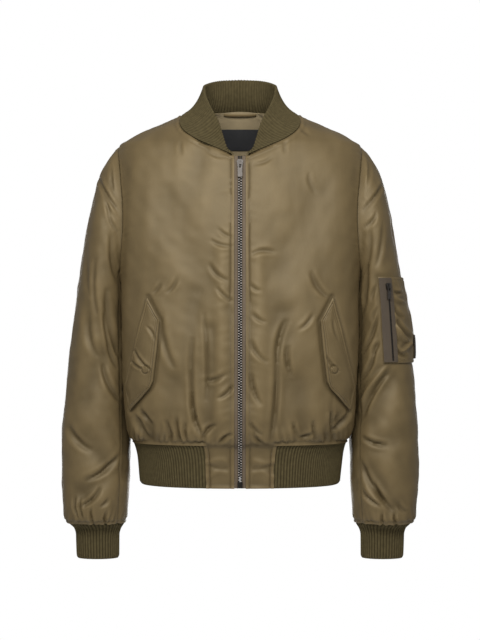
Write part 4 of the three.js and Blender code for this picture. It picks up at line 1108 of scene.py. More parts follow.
@functools.lru_cache(maxsize=None)
def satin(name="Olive satin", factor=1.0, with_painted_shade=True):
    """Satin-faced nylon twill: a fine diagonal, a broad soft shine, faint streaks, and painted shade in its
    creases with painted light on their ridges.
    """
    rgb = tinted(bpy.context.scene.jacket_colours.shell, factor)
    material, shader = new_finish(name, Roughness=0.52, Specular_IOR_Level=0.42, Sheen_Weight=0.05)
    shader.inputs["Specular Tint"].default_value = (1.0, 0.86, 0.62, 1)
    shader.inputs["Sheen Roughness"].default_value = 0.4
    shader.inputs["Sheen Tint"].default_value = colour(tinted(rgb, 3.0))
    drift = varied_colour(material, shader, rgb, 26.0, 0.06)
    # Painted shade deep in the creases and painted light on their ridges
    if with_painted_shade:
        paint_relief_shade(material, shader, drift, 0.78, 1.18)
    place = add_node(material, "ShaderNodeTexCoord")
    stretched = add_node(
        material,
        "ShaderNodeMapping",
        {"Vector": place.outputs["Object"], "Scale": (1, 1, 0.22)},
    )
    streaks = add_node(
        material,
        "ShaderNodeTexNoise",
        {"Vector": stretched.outputs["Vector"], "Scale": 70.0, "Detail": 3.0},
    )
    turned = add_node(
        material,
        "ShaderNodeMapping",
        {"Vector": place.outputs["UV"], "Rotation": (0, 0, np.radians(52))},
    )
    twill = add_node(
        material,
        "ShaderNodeTexWave",
        {"Vector": turned.outputs["Vector"], "Scale": 320.0, "Distortion": 0.6, "Detail": 1.0},
    )
    layers = ((streaks.outputs["Fac"], 0.0003), (twill.outputs["Fac"], 0.00004))
    bump_from(material, shader, layers)
    return material


@functools.lru_cache(maxsize=None)
def knit():
    """Wool-like rib: matt, with small stitches up each rib, a soft fuzz, and painted shade between the ribs
    with painted light on their tops.
    """
    rgb = bpy.context.scene.jacket_colours.knit
    looks = {"Roughness": 0.95, "Specular_IOR_Level": 0.12, "Sheen_Weight": 0.12}
    material, shader = new_finish("Olive rib knit", **looks)
    shader.inputs["Sheen Roughness"].default_value = 0.5
    shader.inputs["Sheen Tint"].default_value = colour(tinted(rgb, 5.0))
    drift = varied_colour(material, shader, rgb, 180.0, 0.16)
    # Painted shade in the valleys between ribs and painted light on their tops
    paint_relief_shade(material, shader, drift, 0.5, 1.2)
    place = add_node(material, "ShaderNodeTexCoord")
    loops = add_node(
        material,
        "ShaderNodeTexWave",
        {"Vector": place.outputs["UV"], "Scale": 190.0, "Distortion": 1.2, "Detail": 1.0},
        bands_direction="Y",
    )
    fuzz = add_node(
        material,
        "ShaderNodeTexNoise",
        {"Vector": place.outputs["Object"], "Scale": 1500.0, "Detail": 2.0},
    )
    bump_from(material, shader, ((loops.outputs["Fac"], 0.0003), (fuzz.outputs["Fac"], 0.0002)))
    return material


@functools.lru_cache(maxsize=None)
def woven(name, slot_colour, roughness, pitch, depth, painted_shadow_edge=0.0, factor=1.0):
    """Plain woven cloth or tape: fine threads both ways, and, when an edge width in metres is given, a
    painted shadow up to that width from its edge.
    """
    rgb = tinted(getattr(bpy.context.scene.jacket_colours, slot_colour), factor)
    material, shader = new_finish(name, Roughness=roughness, Specular_IOR_Level=0.3, Sheen_Weight=0.05)
    drift = varied_colour(material, shader, rgb, 60.0, 0.08)
    place = add_node(material, "ShaderNodeTexCoord").outputs["UV"]
    # Painted shadow that the zip teeth cast on the tape: the colour falls nearly to black beside the teeth.
    if painted_shadow_edge:
        across = add_node(material, "ShaderNodeSeparateXYZ", {"Vector": place}).outputs["X"]
        ends = {"Value": across, "From Min": painted_shadow_edge * 0.8, "From Max": painted_shadow_edge * 1.2, "To Min": 0.04}
        share = add_node(material, "ShaderNodeMapRange", ends).outputs["Result"]
        scale_colour(material, shader, drift, share)
    waves = [
        add_node(
            material,
            "ShaderNodeTexWave",
            {"Vector": place, "Scale": 0.31 / pitch, "Distortion": 0.5},
            bands_direction=way,
        ).outputs["Fac"]
        for way in ("X", "Y")
    ]
    bump_from(material, shader, tuple((wave, depth) for wave in waves))
    return material


@functools.lru_cache(maxsize=None)
def metal(name, factor, roughness=0.38):
    """Dark plated metal, rubbed lighter in places and finely scratched."""
    rgb = tinted(bpy.context.scene.jacket_colours.metal, factor)
    material, shader = new_finish(name, Metallic=1.0)
    varied_colour(material, shader, rgb, 420.0, 0.2)
    place = add_node(material, "ShaderNodeTexCoord").outputs["Object"]
    marks = add_node(material, "ShaderNodeTexNoise", {"Vector": place, "Scale": 900.0, "Detail": 6.0})
    rough = add_node(
        material,
        "ShaderNodeMapRange",
        {"Value": marks.outputs["Fac"], "To Min": roughness - 0.1, "To Max": roughness + 0.15},
    )
    material.node_tree.links.new(rough.outputs["Result"], shader.inputs["Roughness"])
    bump_from(material, shader, ((marks.outputs["Fac"], 0.00006),))
    return material


@functools.lru_cache(maxsize=None)
def lining_cloth():
    return woven("Olive lining", "lining", 0.5, 0.0007, 0.00004)


@functools.lru_cache(maxsize=None)
def thread():
    """Sewing thread, a little darker than the shell."""
    rgb = tinted(bpy.context.scene.jacket_colours.shell, 0.8)
    material, shader = new_finish("Olive thread", Roughness=0.6, Sheen_Weight=0.2)
    varied_colour(material, shader, rgb, 700.0, 0.15)
    return material


# Ribbed knit
def rib_profile(column):
    """Height of a rib over its columns: round on top, with a narrow valley between ribs."""
    return np.abs(np.sin(np.pi * column / RIB_COLUMNS))


def knit_band(points, normals, height, slack):
    """The outer face of a knit wall, with its ribs raised."""
    ribs = rib_profile(np.arange(points.shape[1])[None, :])
    raised = 1.1 * RIB_HEIGHT * ribs * height + slack
    return points + normals * raised[..., None]


def painted_rib_shade(grid):
    """0 in the valleys between ribs and 1 on top of them, for each point of a grid: the share that sets the
    painted shade and light of the knit.
    """
    rows, columns = grid[0].shape[:2]
    return np.tile(rib_profile(np.arange(columns)), rows)


def hem_rib_grid():
    """The hem's knit band from one tab round the back to the other, with its ends tucked behind them."""
    rows = np.linspace(TAB_FOOT_Z, HEM_Z - SEAM_GAP, HEM_ROWS)[:, None]
    start = mix(body_turn_at(ZIP_EDGE_X, rows), 90.0, TAB_SHARE)
    start = start - np.degrees(TUCK / body_section(rows)[..., 1])
    share = np.linspace(0, 1, HEM_RIBS * RIB_COLUMNS + 1)[None, :]
    t = mix(start, 360 - start, share)
    z = np.broadcast_to(rows, t.shape)
    base, normals = body_base(t, z), body_normal(t, z)
    foot = (z - TAB_FOOT_Z) / (HEM_Z - TAB_FOOT_Z)
    ends = smooth(foot, 0, 0.05) * (1 - 0.5 * smooth(foot, 0.93, 1))
    slack = 0.5 * lumps(base, 91, 22, 80) + 0.8 * np.sin(np.pi * foot) - 1.2 * (1 - smooth(foot, 0, 0.05))
    _, _, first, last = edge_ways(base)
    slack -= 4.2 * (1 - smooth(np.minimum(first, last), TUCK - 1, TUCK + 1.2))
    return knit_band(base, normals, 0.35 + 0.65 * ends, slack), normals, base


def cuff_grid(side):
    """Points, normals and plain form of a cuff, all round, in rows from its foot up."""
    rows = np.linspace(CUFF[0][0], CUFF[-1][0], CUFF_ROWS)[:, None]
    mid, half, depth = np.moveaxis(curve(CUFF)(rows), -1, 0)
    turn = np.radians(np.linspace(0, 360, CUFF_RIBS * RIB_COLUMNS + 1))[None, :]
    x, y = mid + half * np.cos(turn), CUFF_MID_Y + depth * np.sin(turn)
    base = np.stack([x, y, rows + 0 * x], -1)
    normals = unit(np.stack([depth * np.cos(turn), half * np.sin(turn), 0 * x], -1))
    foot = (base[..., 2] - CUFF[0][0]) / (CUFF[-1][0] - CUFF[0][0])
    ends = smooth(foot, 0, 0.06)
    slack = 0.4 * np.sin(np.pi * foot) - 1.0 * (1 - smooth(foot, 0, 0.06)) - 2.2 * smooth(foot, 0.86, 0.93)
    return mirrored(side, knit_band(base, normals, 0.35 + 0.65 * ends, slack), normals, base)


collar_edge = curve(COLLAR_EDGE)


def neckline():
    """Points, normals and turns of the edge that the panels leave round the neck, right front first."""
    share = np.linspace(0, 1, 70)
    front_t, front_z = front_place(share, 90.0, NECK_SIDE_Z, 1.0)
    across = np.linspace(-1, 1, 130)[1:-1]
    back_t, back_z = back_place(across, 90.0, NECK_SIDE_Z, 1.0)
    t = np.concatenate([front_t, back_t, 360 - front_t[::-1]])
    z = np.concatenate([front_z, back_z, front_z[::-1]])
    return body_base(t, z), body_normal(t, z), t


def collar_surface(height, columns):
    """The collar's plain form at shares of its height, in evenly spaced columns round the neck."""
    points, normals, turns = neckline()
    way = way_along(points)
    at = np.linspace(0, way[-1], columns)
    along = unit(np.gradient(points, axis=0))
    foot = resampled(at, way, points)
    normal = unit(resampled(at, way, normals))
    lift = unit(resampled(at, way, unit(np.cross(normals, along))))
    t = np.interp(at, way, turns)
    side = np.where(t > 180, -1.0, 1.0)
    top = collar_edge(np.where(t > 180, 360 - t, t)) * np.stack([side, side * 0 + 1, side * 0 + 1], -1)
    rise = np.linalg.norm(top - foot, axis=-1)
    dip = COLLAR_HOLLOW * 4 * height * (1 - height) * smooth(rise, 8, 45)[None, :]
    start = foot + lift * COLLAR_LIFT
    return mix(start[None], top[None], height[..., None]) - normal[None] * dip[..., None], normal


def collar_grid():
    """The doubled knit band: up its outside, over its rounded edge and down its inside."""
    columns = COLLAR_RIBS * RIB_COLUMNS + 1
    rises = np.linspace(0, 1, COLLAR_ROWS)[:, None]
    middle, foot_normal = collar_surface(rises, columns)
    around, up = np.gradient(middle, axis=1), np.gradient(middle, axis=0)
    normals = unit(np.cross(around, up))
    normals[0] = foot_normal
    normals[1] = unit(normals[0] + normals[2])
    ribs = RIB_HEIGHT * rib_profile(np.arange(columns)[None, :])
    outside = RIB_HEIGHT * 0.2 + ribs * (0.3 + 0.7 * smooth(rises, 0, 0.12))
    inside = -KNIT_WALL + RIB_HEIGHT * (1.0 - 0.2) - (ribs - RIB_HEIGHT) * 0.8
    inside = np.broadcast_to(inside, outside.shape)
    outer = middle + normals * outside[..., None]
    inner = middle + normals * inside[..., None]
    inner[0] -= 3.5 * unit(up[0])
    edge_normal, edge_up = normals[-1], unit(up[-1])
    thick = (outside[-1] - inside[-1])[:, None]
    centre = middle[-1] + edge_normal * (outside[-1][:, None] - thick / 2)
    arcs = [
        centre + (edge_normal * np.cos(angle) + edge_up * np.sin(angle) * 0.9) * thick / 2
        for angle in np.radians(np.linspace(0, 180, COLLAR_EDGE_ROWS + 2)[1:-1])
    ]
    points = np.concatenate([outer, np.array(arcs), inner[::-1]])
    edge_facing = np.repeat(edge_normal[None], COLLAR_EDGE_ROWS, 0)
    return points, np.concatenate([normals, edge_facing, -normals[::-1]]), middle


# Pieces
class JacketColours(bpy.types.PropertyGroup):
    """Colours of the jacket's cloths and metal."""

    shell: FloatVectorProperty(
        name="Shell",
        description="Olive satin",
        subtype="COLOR",
        size=3,
        min=0,
        max=1,
        default=(0.097, 0.069, 0.0315),
    )
    knit: FloatVectorProperty(
        name="Knit",
        description="Rib knit",
        subtype="COLOR",
        size=3,
        min=0,
        max=1,
        default=(0.064, 0.050, 0.0225),
    )
    lining: FloatVectorProperty(
        name="Lining",
        description="Neck lining",
        subtype="COLOR",
        size=3,
        min=0,
        max=1,
        default=(0.250, 0.196, 0.112),
    )
    label: FloatVectorProperty(
        name="Label",
        description="Bare woven label",
        subtype="COLOR",
        size=3,
        min=0,
        max=1,
        default=(0.020, 0.020, 0.021),
    )
    tape: FloatVectorProperty(
        name="Zip tape",
        description="Tape of both zips",
        subtype="COLOR",
        size=3,
        min=0,
        max=1,
        default=(0.098, 0.072, 0.046),
    )
    metal: FloatVectorProperty(
        name="Metal",
        description="Zip teeth and sliders",
        subtype="COLOR",
        size=3,
        min=0,
        max=1,
        default=(0.035, 0.032, 0.029),
    )
    stage: FloatVectorProperty(
        name="Stage",
        description="Floor and backdrop",
        subtype="COLOR",
        size=3,
        min=0,
        max=1,
        default=(0.9, 0.9, 0.9),
    )


class JacketSizes(bpy.types.PropertyGroup):
    """Sizes of the jacket's sewing."""

    wall: FloatProperty(
        name="Shell wall",
        description="Thickness of shell and padding",
        unit="LENGTH",
        default=SHELL_WALL * MM,
        min=0.0005,
        max=0.004,
    )
    tooth_pitch: FloatProperty(
        name="Tooth pitch",
        description="From one tooth to the next on one tape",
        unit="LENGTH",
        default=0.0042,
        min=0.002,
        max=0.006,
    )
    stitch: FloatProperty(
        name="Stitch",
        description="Length of a sewing stitch",
        unit="LENGTH",
        default=0.0028,
        min=0.0015,
        max=0.006,
    )
    distance: FloatProperty(
        name="Camera distance",
        description="From the camera to the jacket's middle",
        unit="LENGTH",
        default=3.0,
        min=1.0,
        max=10.0,
    )


def shell_piece(name, grids, wall, *finishes):
    """A satin piece with painted shade in its creases and painted light on its ridges, with any other finish
    given on its inside.
    """
    return cloth_piece(name, grids, wall, (satin(), *finishes), shares=painted_crease_shade(grids))


class JacketFronts(bpy.types.Operator):
    """Both fronts, each with its square tab at the hem"""

    bl_idname = "jacket.fronts"
    bl_label = "Fronts"

    def execute(self, context):
        wall = context.scene.jacket_sizes.wall / MM
        for side_name, side in SIDES:
            grids = (front_grid(side), tab_grid(side))
            piece = shell_piece(f"front_{side_name}_cloth", grids, wall, lining_cloth())
            sew_on(piece, f"front_{side_name}")
        return {"FINISHED"}


class JacketBack(bpy.types.Operator):
    """Back in one piece"""

    bl_idname = "jacket.back"
    bl_label = "Back"

    def execute(self, context):
        grid = back_grid()
        wall = context.scene.jacket_sizes.wall / MM
        piece = shell_piece("back_cloth", (grid,), wall, lining_cloth())
        sew_on(piece, "back")
        return {"FINISHED"}


class JacketSleeves(bpy.types.Operator):
    """Both sleeves, each of an upper and an under piece"""

    bl_idname = "jacket.sleeves"
    bl_label = "Sleeves"

    def execute(self, context):
        wall = context.scene.jacket_sizes.wall / MM
        for side_name, side in SIDES:
            for part, under in (("upper", False), ("under", True)):
                grid = sleeve_grid(side, under)
                name = f"{part}_sleeve_{side_name}"
                piece = shell_piece(f"{name}_cloth", (grid,), wall, lining_cloth())
                sew_on(piece, name)
        return {"FINISHED"}


class JacketKnit(bpy.types.Operator):
    """Hem band, cuffs and collar in rib knit"""

    bl_idname = "jacket.knit"
    bl_label = "Ribbed knit"

    def execute(self, context):
        wall = KNIT_WALL - RIB_HEIGHT
        hem = hem_rib_grid()
        piece = cloth_piece("hem_rib_knit", (hem,), wall, (knit(),), 80, painted_rib_shade(hem))
        sew_on(piece, "hem_rib")
        for side_name, side in SIDES:
            cuff = cuff_grid(side)
            piece = cloth_piece(f"cuff_{side_name}_knit", (cuff,), wall, (knit(),), 80, painted_rib_shade(cuff))
            sew_on(piece, f"cuff_{side_name}")
        points, normals, middle = collar_grid()
        both = np.concatenate([middle, np.repeat(middle[-1:], COLLAR_EDGE_ROWS, 0), middle[::-1]])
        # The collar gets a weaker painted shade and light on its ribs.
        shares = 0.35 + 0.4 * painted_rib_shade((points,))
        piece = cloth_piece("collar_knit", ((points, normals, both),), 0, (knit(),), 80, shares)
        sew_on(piece, "collar")
        return {"FINISHED"}


def inside_back(x, z, depth):
    """A place inside the back, seen from the front, and the direction that it faces."""
    t = body_turn_at(np.abs(x), z, 180.0, 90.0)
    t = np.where(x < 0, 360 - t, t)
    normal = body_normal(t, np.broadcast_to(z, t.shape))
    return body_base(t, z) - normal * np.asarray(depth)[..., None], -normal


class JacketNeck(bpy.types.Operator):
    """Neck lining, bare label and hanger loop"""

    bl_idname = "jacket.neck"
    bl_label = "Neck lining, label and loop"

    def execute(self, context):
        self.lining()
        self.label()
        self.loop()
        return {"FINISHED"}

    def lining(self):
        share = np.linspace(-LINING_SHARE, LINING_SHARE, 90)[None, :]
        rise = np.linspace(LINING_FOOT, 1, 40)[:, None]
        edge_z = mix(LINING_SIDE_Z, NECK_SIDE_Z, (rise - LINING_FOOT) / (1 - LINING_FOOT))
        t, z = back_place(share, 90.0, edge_z, rise)
        normals = body_normal(t, z)
        base = body_base(t, z) - normals * LINING_FACE
        creases = crease_depth(LINING_CREASES, base[..., 0], base[..., 2])
        relief = 0.5 * lumps(base, 101, 16, 60) - 2.0 * creases
        inner = base - normals * (LINING_WALL + relief[..., None] * 0.5 + 0.3)
        grids = ((inner, -normals, base),)
        piece = cloth_piece("neck_lining_cloth", grids, LINING_WALL, (lining_cloth(),))
        sew_on(piece, "neck_lining")

    def label(self):
        half, top, foot = LABEL["half"], LABEL["top"], LABEL["foot"]
        x, z = np.meshgrid(np.linspace(-half, half, 46), np.linspace(foot, top, 28))
        edge = np.minimum(half - np.abs(x), np.minimum(z - foot, top - z))
        lift = 1.0 + 0.5 * smooth(edge, 0.2, 1.2) - 0.45 * bell(edge - 2.4, 0.7)
        lift = lift + 0.25 * lumps(np.stack([x, z, z * 0], -1), 111, 14, 50)
        points, facing = inside_back(x, z, ON_LINING + lift)
        finish = woven("Black label", "label", 0.75, 0.0006, 0.00006)
        piece = cloth_piece("neck_label_cloth", ((points, facing, points),), 0.8, (finish,))
        sew_on(piece, "neck_label")

    def loop(self):
        share = np.linspace(0, 1, 46)[:, None]
        across = np.linspace(-1, 1, 9)[None, :]
        stand = LOOP["stand"] * np.sin(np.pi * share) ** 0.7
        x = mix(LOOP["half"], -LOOP["half"], share) + 0 * across
        z = LOOP["z"] + LOOP["width"] / 2 * across + 0 * share
        points, facing = inside_back(x, z, ON_LINING + stand + 1.5 - 0.5 * across**2)
        finish = satin("Loop satin", 1.3, with_painted_shade=False)
        piece = cloth_piece("hanger_loop_cloth", ((points, facing, points),), 1.4, (finish,))
        sew_on(piece, "hanger_loop")


def front_outside(side, x, z, out):
    """A place out from a front with its large folds, seen from the front, on the right side."""
    t = body_turn_at(x, z)
    base, normal = body_base(t, z), body_normal(t, z)
    fade = (1 - smooth(base[..., 0], *FOLD_END_X)) * above_hem(z)
    depth = fold_depth(FRONT_FOLDS, side * base[..., 0], z) * fade
    return base + normal * (out - depth)[..., None], normal


def flap_grid(side):
    """Points, normals and plain form of a slanted flap, in rows from its foot up."""
    table = np.array(FLAP_EDGES[::-1], float)
    place = np.linspace(0, len(table) - 1, 148)[:, None]
    rows = [np.interp(place, np.arange(len(table)), table[:, k]) for k in range(4)]
    share = np.linspace(0, 1, 52)[None, :]
    x = mix(rows[2], rows[0], share)
    z = mix(rows[3], rows[1], share)
    base, normals = front_outside(side, x, z, FLAP_WALL + mix(FLAP_FREE_GAP, LAID_GAP, share) + 0 * x)
    edge = from_edges(base)
    relief = 0.6 - 1.6 * (1 - smooth(edge, 0, 2.0))
    relief = relief - 1.2 * bell(edge - 5.2, 1.1) - 0.6 * bell(edge - 8.8, 0.9)
    relief += 0.9 * smooth(edge, 9, 20) + 0.5 * lumps(base, 120 + side, 16, 55)
    relief -= crease_depth(LEFT_FLAP_CREASES if side < 0 else RIGHT_FLAP_CREASES, x, z)
    relief -= 1.2 * bell(np.hypot(x - SNAP_X, z - SNAP_Z) - 6.6, 1.2)
    return mirrored(side, base + normals * relief[..., None], normals, base)


class JacketFlaps(bpy.types.Operator):
    """Slanted hand pocket flaps and their cloth-covered snaps"""

    bl_idname = "jacket.flaps"
    bl_label = "Pocket flaps and snaps"

    def execute(self, context):
        for side_name, side in SIDES:
            grid = flap_grid(side)
            piece = shell_piece(f"flap_{side_name}_cloth", (grid,), 2.0)
            sew_on(piece, f"flap_{side_name}")
            self.snap(side_name, side)
        return {"FINISHED"}

    def snap(self, side_name, side):
        """The cloth-covered cap of a snap, under the flap and square to the front there."""
        x, z = np.array([SNAP_X]), np.array([SNAP_Z])
        place, normal = front_outside(side, x, z, np.array([FLAP_FREE_GAP + FLAP_WALL - 0.4]))
        at, out = mirrored(side, place[0], normal[0])
        bpy.ops.object.select_all(action="DESELECT")
        bpy.ops.mesh.primitive_cylinder_add(vertices=28, radius=SNAP_RADIUS, depth=SNAP_HEIGHT)
        piece = bpy.context.active_object
        piece.name = f"snap_{side_name}_cap"
        reshape(bpy.ops.transform.translate, value=(0, 0, SNAP_HEIGHT / 2))
        round_edges(piece, 1.1, 4)
        across = unit(np.cross([0, 0, 1.0], out))
        turn = Matrix((across, np.cross(out, across), out)).transposed().to_4x4()
        piece.data.transform(Matrix.Translation(at * MM) @ turn @ Matrix.Scale(MM, 4))
        only(piece)
        bpy.ops.object.shade_smooth_by_angle(angle=np.radians(50))
        piece.data.materials.append(satin("Snap satin", with_painted_shade=False))
        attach(piece, "root")
        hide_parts(f"snap_{side_name}")


def laid_grid(patch, rows, columns, out, relief_of=None):
    """Points, normals and plain form of a piece that lies on the right sleeve, out from it in mm."""
    turn, z = sleeve_patch(patch, rows, columns)
    base, normals = sleeve_folded(1, turn, sleeve_ring_at(turn, z))
    base = base + normals * (out + pocket_bulge(turn, z))[..., None]
    relief = relief_of(base) if relief_of else 0 * turn
    return base + normals * relief[..., None], normals, base


class JacketSleevePocket(bpy.types.Operator):
    """Utility pocket on the right sleeve, its zip tape and its pen slot"""

    bl_idname = "jacket.sleeve_pocket"
    bl_label = "Sleeve pocket"

    def execute(self, context):
        pocket = laid_grid(POCKET, 64, 84, LAID_GAP + POCKET_WALL, self.pocket_relief)
        piece = shell_piece("sleeve_pocket_cloth", (pocket,), 2.0)
        sew_on(piece, "sleeve_pocket")

        on_pocket = LAID_GAP * 1.4 + POCKET_WALL
        tape = laid_grid(POCKET_ZIP, 50, 14, on_pocket + 1.2)
        finish = woven("Pocket tape cloth", "tape", 0.7, 0.0011, 0.00012, factor=0.55)
        piece = cloth_piece("pocket_tape_cloth", (tape,), 1.0, (finish,))
        sew_on(piece, "pocket_tape")

        slot = laid_grid(PEN_SLOT, 30, 22, on_pocket + 2.6, self.slot_relief)
        # Tape darkened to 0.3: the pen slot's end, partly its own dark colour and partly painted shade in its
        # hollow.
        dark = woven("Pen slot webbing", "tape", 0.8, 0.0011, 0.0002, factor=0.3)
        piece = cloth_piece("pen_slot_cloth", (slot,), 2.0, (dark,))
        sew_on(piece, "pen_slot")
        self.coil(on_pocket + 1.6)
        return {"FINISHED"}

    def coil(self, out):
        """The pocket zip's dark coil down the middle of its tape."""
        line = laid_grid(POCKET_COIL, 110, 2, out)
        places, normals = line[0][:, 0], line[1][:, 0]
        along = unit(np.gradient(places, axis=0))
        bpy.ops.object.select_all(action="DESELECT")
        bpy.ops.mesh.primitive_uv_sphere_add(segments=8, ring_count=6, radius=0.5)
        turn = bpy.context.active_object
        reshape(bpy.ops.transform.resize, value=COIL_SIZE)
        axes = np.stack([np.cross(along, normals), normals, along], 1)
        piece = copies("pocket_zip_coil", turn.data, places, axes, metal("Pocket zip coil", 1.6, 0.45))
        bpy.data.objects.remove(turn)

    def pocket_relief(self, base):
        """Stitched edges and loose wrinkles, which stop at the tape."""
        top, _, front, rear = edge_ways(base)
        edge = from_edges(base)
        relief = -1.2 * (1 - smooth(edge, 0, 1.8)) - 0.7 * bell(edge - 4.6, 0.9)
        loose = smooth(edge, 2, 8) * smooth(front, TAPE_REACH - 3, TAPE_REACH + 4)
        relief += 0.9 * lumps(base, 131, 14, 50) * loose
        relief += (1.5 * ripples(top, rear, 13, 15, 133) + 1.2 * ripples(rear, top, 11, 12, 135)) * loose
        x, z = base[..., 0], base[..., 2]
        return relief - crease_depth(POCKET_CREASES, x, z) * loose

    def slot_relief(self, base):
        """A bound edge with its line of stitching."""
        edge = from_edges(base)
        return -1.0 * (1 - smooth(edge, 0, 1.5)) - 0.5 * bell(edge - 3.0, 0.7)


def zip_line(z):
    """The zip's tape at heights z: its y, and the direction that it faces."""
    turn = body_turn_at(ZIP_EDGE_X, z)
    y = body_base(turn, z)[..., 1] + TAPE_RECESS
    slope = np.gradient(y) / np.gradient(z)
    facing = unit(np.stack([0 * z, -np.ones_like(z), slope], -1))
    return y, facing


class JacketZip(bpy.types.Operator):
    """Both tapes of the front zip and its metal teeth"""

    bl_idname = "jacket.zip"
    bl_label = "Front zip"

    def execute(self, context):
        z = np.linspace(TAB_FOOT_Z + 0.5, NECK_FRONT_Z - 1, 190)
        y, facing = zip_line(z)
        # The tapes carry a painted shadow of the teeth along their inner edge.
        finish = woven("Zip tape cloth", "tape", 0.7, 0.0011, 0.00012, painted_shadow_edge=0.0032)
        for side_name, side in reversed(SIDES):
            x = np.linspace(*TAPE_X, TAPE_COLUMNS)[None, :]
            ridge = 0.7 * bell(x - 4.0, 0.9) - 0.15 * np.cos(x * 4)
            points = np.stack([side * x + 0 * z[:, None], y[:, None] + 0 * x, z[:, None] + 0 * x], -1)
            normals = np.repeat(facing[:, None, :], TAPE_COLUMNS, 1)
            raised = points + normals * np.broadcast_to(ridge, points.shape[:2])[..., None]
            name = f"zip_tape_{side_name}"
            piece = cloth_piece(f"{name}_cloth", ((raised, normals, points),), 1.2, (finish,))
            sew_on(piece, name)
        self.teeth(context.scene.jacket_sizes.tooth_pitch / MM)
        return {"FINISHED"}

    def teeth(self, pitch):
        """Teeth that alternate between the two tapes, from the zip box to the slider."""
        bpy.ops.object.select_all(action="DESELECT")
        bpy.ops.mesh.primitive_cube_add(size=1)
        tooth = bpy.context.active_object
        reshape(bpy.ops.transform.resize, value=TOOTH_SIZE)
        round_edges(tooth, 0.5, 1)
        start, end = TEETH_Z
        count = int((end - start) / (pitch / 2))
        z = start + np.arange(count) * pitch / 2
        y, facing = zip_line(z)
        side = np.where(np.arange(count) % 2, 1.0, -1.0)
        places = np.stack([side * TOOTH_X, y, z], -1) + facing * TOOTH_RISE
        across = np.repeat([[1.0, 0, 0]], count, 0)
        axes = np.stack([across, -facing, np.cross(across, -facing)], 1)
        piece = copies("zip_teeth", tooth.data, places, axes, metal("Zip teeth metal", 10.0, 0.4))
        bpy.data.objects.remove(tooth)


class JacketMetal(bpy.types.Operator):
    """Finish of the sliders, pull tabs and zip box"""

    bl_idname = "jacket.metal"
    bl_label = "Sliders and pulls"

    def execute(self, context):
        for name in METAL_NODES:
            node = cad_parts[name]
            node.data.materials.clear()
            factor = METAL_FACTORS.get(name.split("_")[0], 1.0)
            node.data.materials.append(metal(f"Gunmetal {factor}", factor))
        return {"FINISHED"}


def stitch_shape(length):
    """One stitch along X, modelled in mm."""
    bpy.ops.object.select_all(action="DESELECT")
    bpy.ops.mesh.primitive_cylinder_add(vertices=6, radius=STITCH_RADIUS, depth=length)
    stitch = bpy.context.active_object
    lying = {"value": np.pi / 2, "orient_axis": "Y", "center_override": (0, 0, 0)}
    reshape(bpy.ops.transform.rotate, **lying)
    round_edges(stitch, 0.15, 1)
    return stitch


def grid_line(grid, rows, columns):
    """Points and normals along a path over a grid, given by fractional rows and columns."""
    points, normals = grid[0], grid[1]
    i = np.clip(np.floor(rows).astype(int), 0, points.shape[0] - 2)
    j = np.clip(np.floor(columns).astype(int), 0, points.shape[1] - 2)
    u, v = (rows - i)[:, None], (columns - j)[:, None]

    def read(field):
        before = mix(field[i, j], field[i + 1, j], u)
        return mix(before, mix(field[i, j + 1], field[i + 1, j + 1], u), v)

    return read(points), unit(read(normals))


def beside_edge(grid, edge, inset, start=0.0, end=1.0, count=400):
    """A line on a grid at an inset in mm from one of its edges: low, high, first or last."""
    ways = dict(zip(("low", "high", "first", "last"), edge_ways(grid[2])))
    down_a_side = edge in ("first", "last")
    away = ways[edge] if down_a_side else ways[edge].T
    order = np.arange(away.shape[1])
    if edge in ("high", "last"):
        away, order = away[:, ::-1], order[::-1]
    along = np.linspace(start, end, count) * (len(away) - 1)
    inwards = np.array([np.interp(inset, away[round(place)], order) for place in along])
    return grid_line(grid, along, inwards) if down_a_side else grid_line(grid, inwards, along)


def sewn_line(line, pitch, rise):
    """Places and axes of the stitches along a line of points and normals."""
    points, normals = line
    way = way_along(points)
    at = np.arange(pitch / 2, way[-1], pitch)
    place, normal = resampled(at, way, points), unit(resampled(at, way, normals))
    along = unit(resampled(at, way, np.gradient(points, axis=0)))
    across = unit(np.cross(normal, along))
    return place + normal * rise, np.stack([along, across, np.cross(along, across)], 1)


class JacketStitching(bpy.types.Operator):
    """Topstitching along the zip, tabs and flaps"""

    bl_idname = "jacket.stitching"
    bl_label = "Stitching"

    def execute(self, context):
        sewn = ((front_grid, FRONT_STITCHING), (tab_grid, TAB_STITCHING), (flap_grid, FLAP_STITCHING))
        lines = []
        for _, side in SIDES:
            for grid_of, rows in sewn:
                grid = grid_of(side)
                lines += [beside_edge(grid, *row) for row in rows]
        length = context.scene.jacket_sizes.stitch / MM
        stitch = stitch_shape(length)
        pitch = length * STITCH_PITCH
        placed = [sewn_line(line, pitch, -0.05) for line in lines]
        places = np.vstack([place for place, _ in placed])
        axes = np.vstack([turned for _, turned in placed])
        piece = copies("topstitching", stitch.data, places, axes, thread())
        bpy.data.objects.remove(stitch)
        return {"FINISHED"}


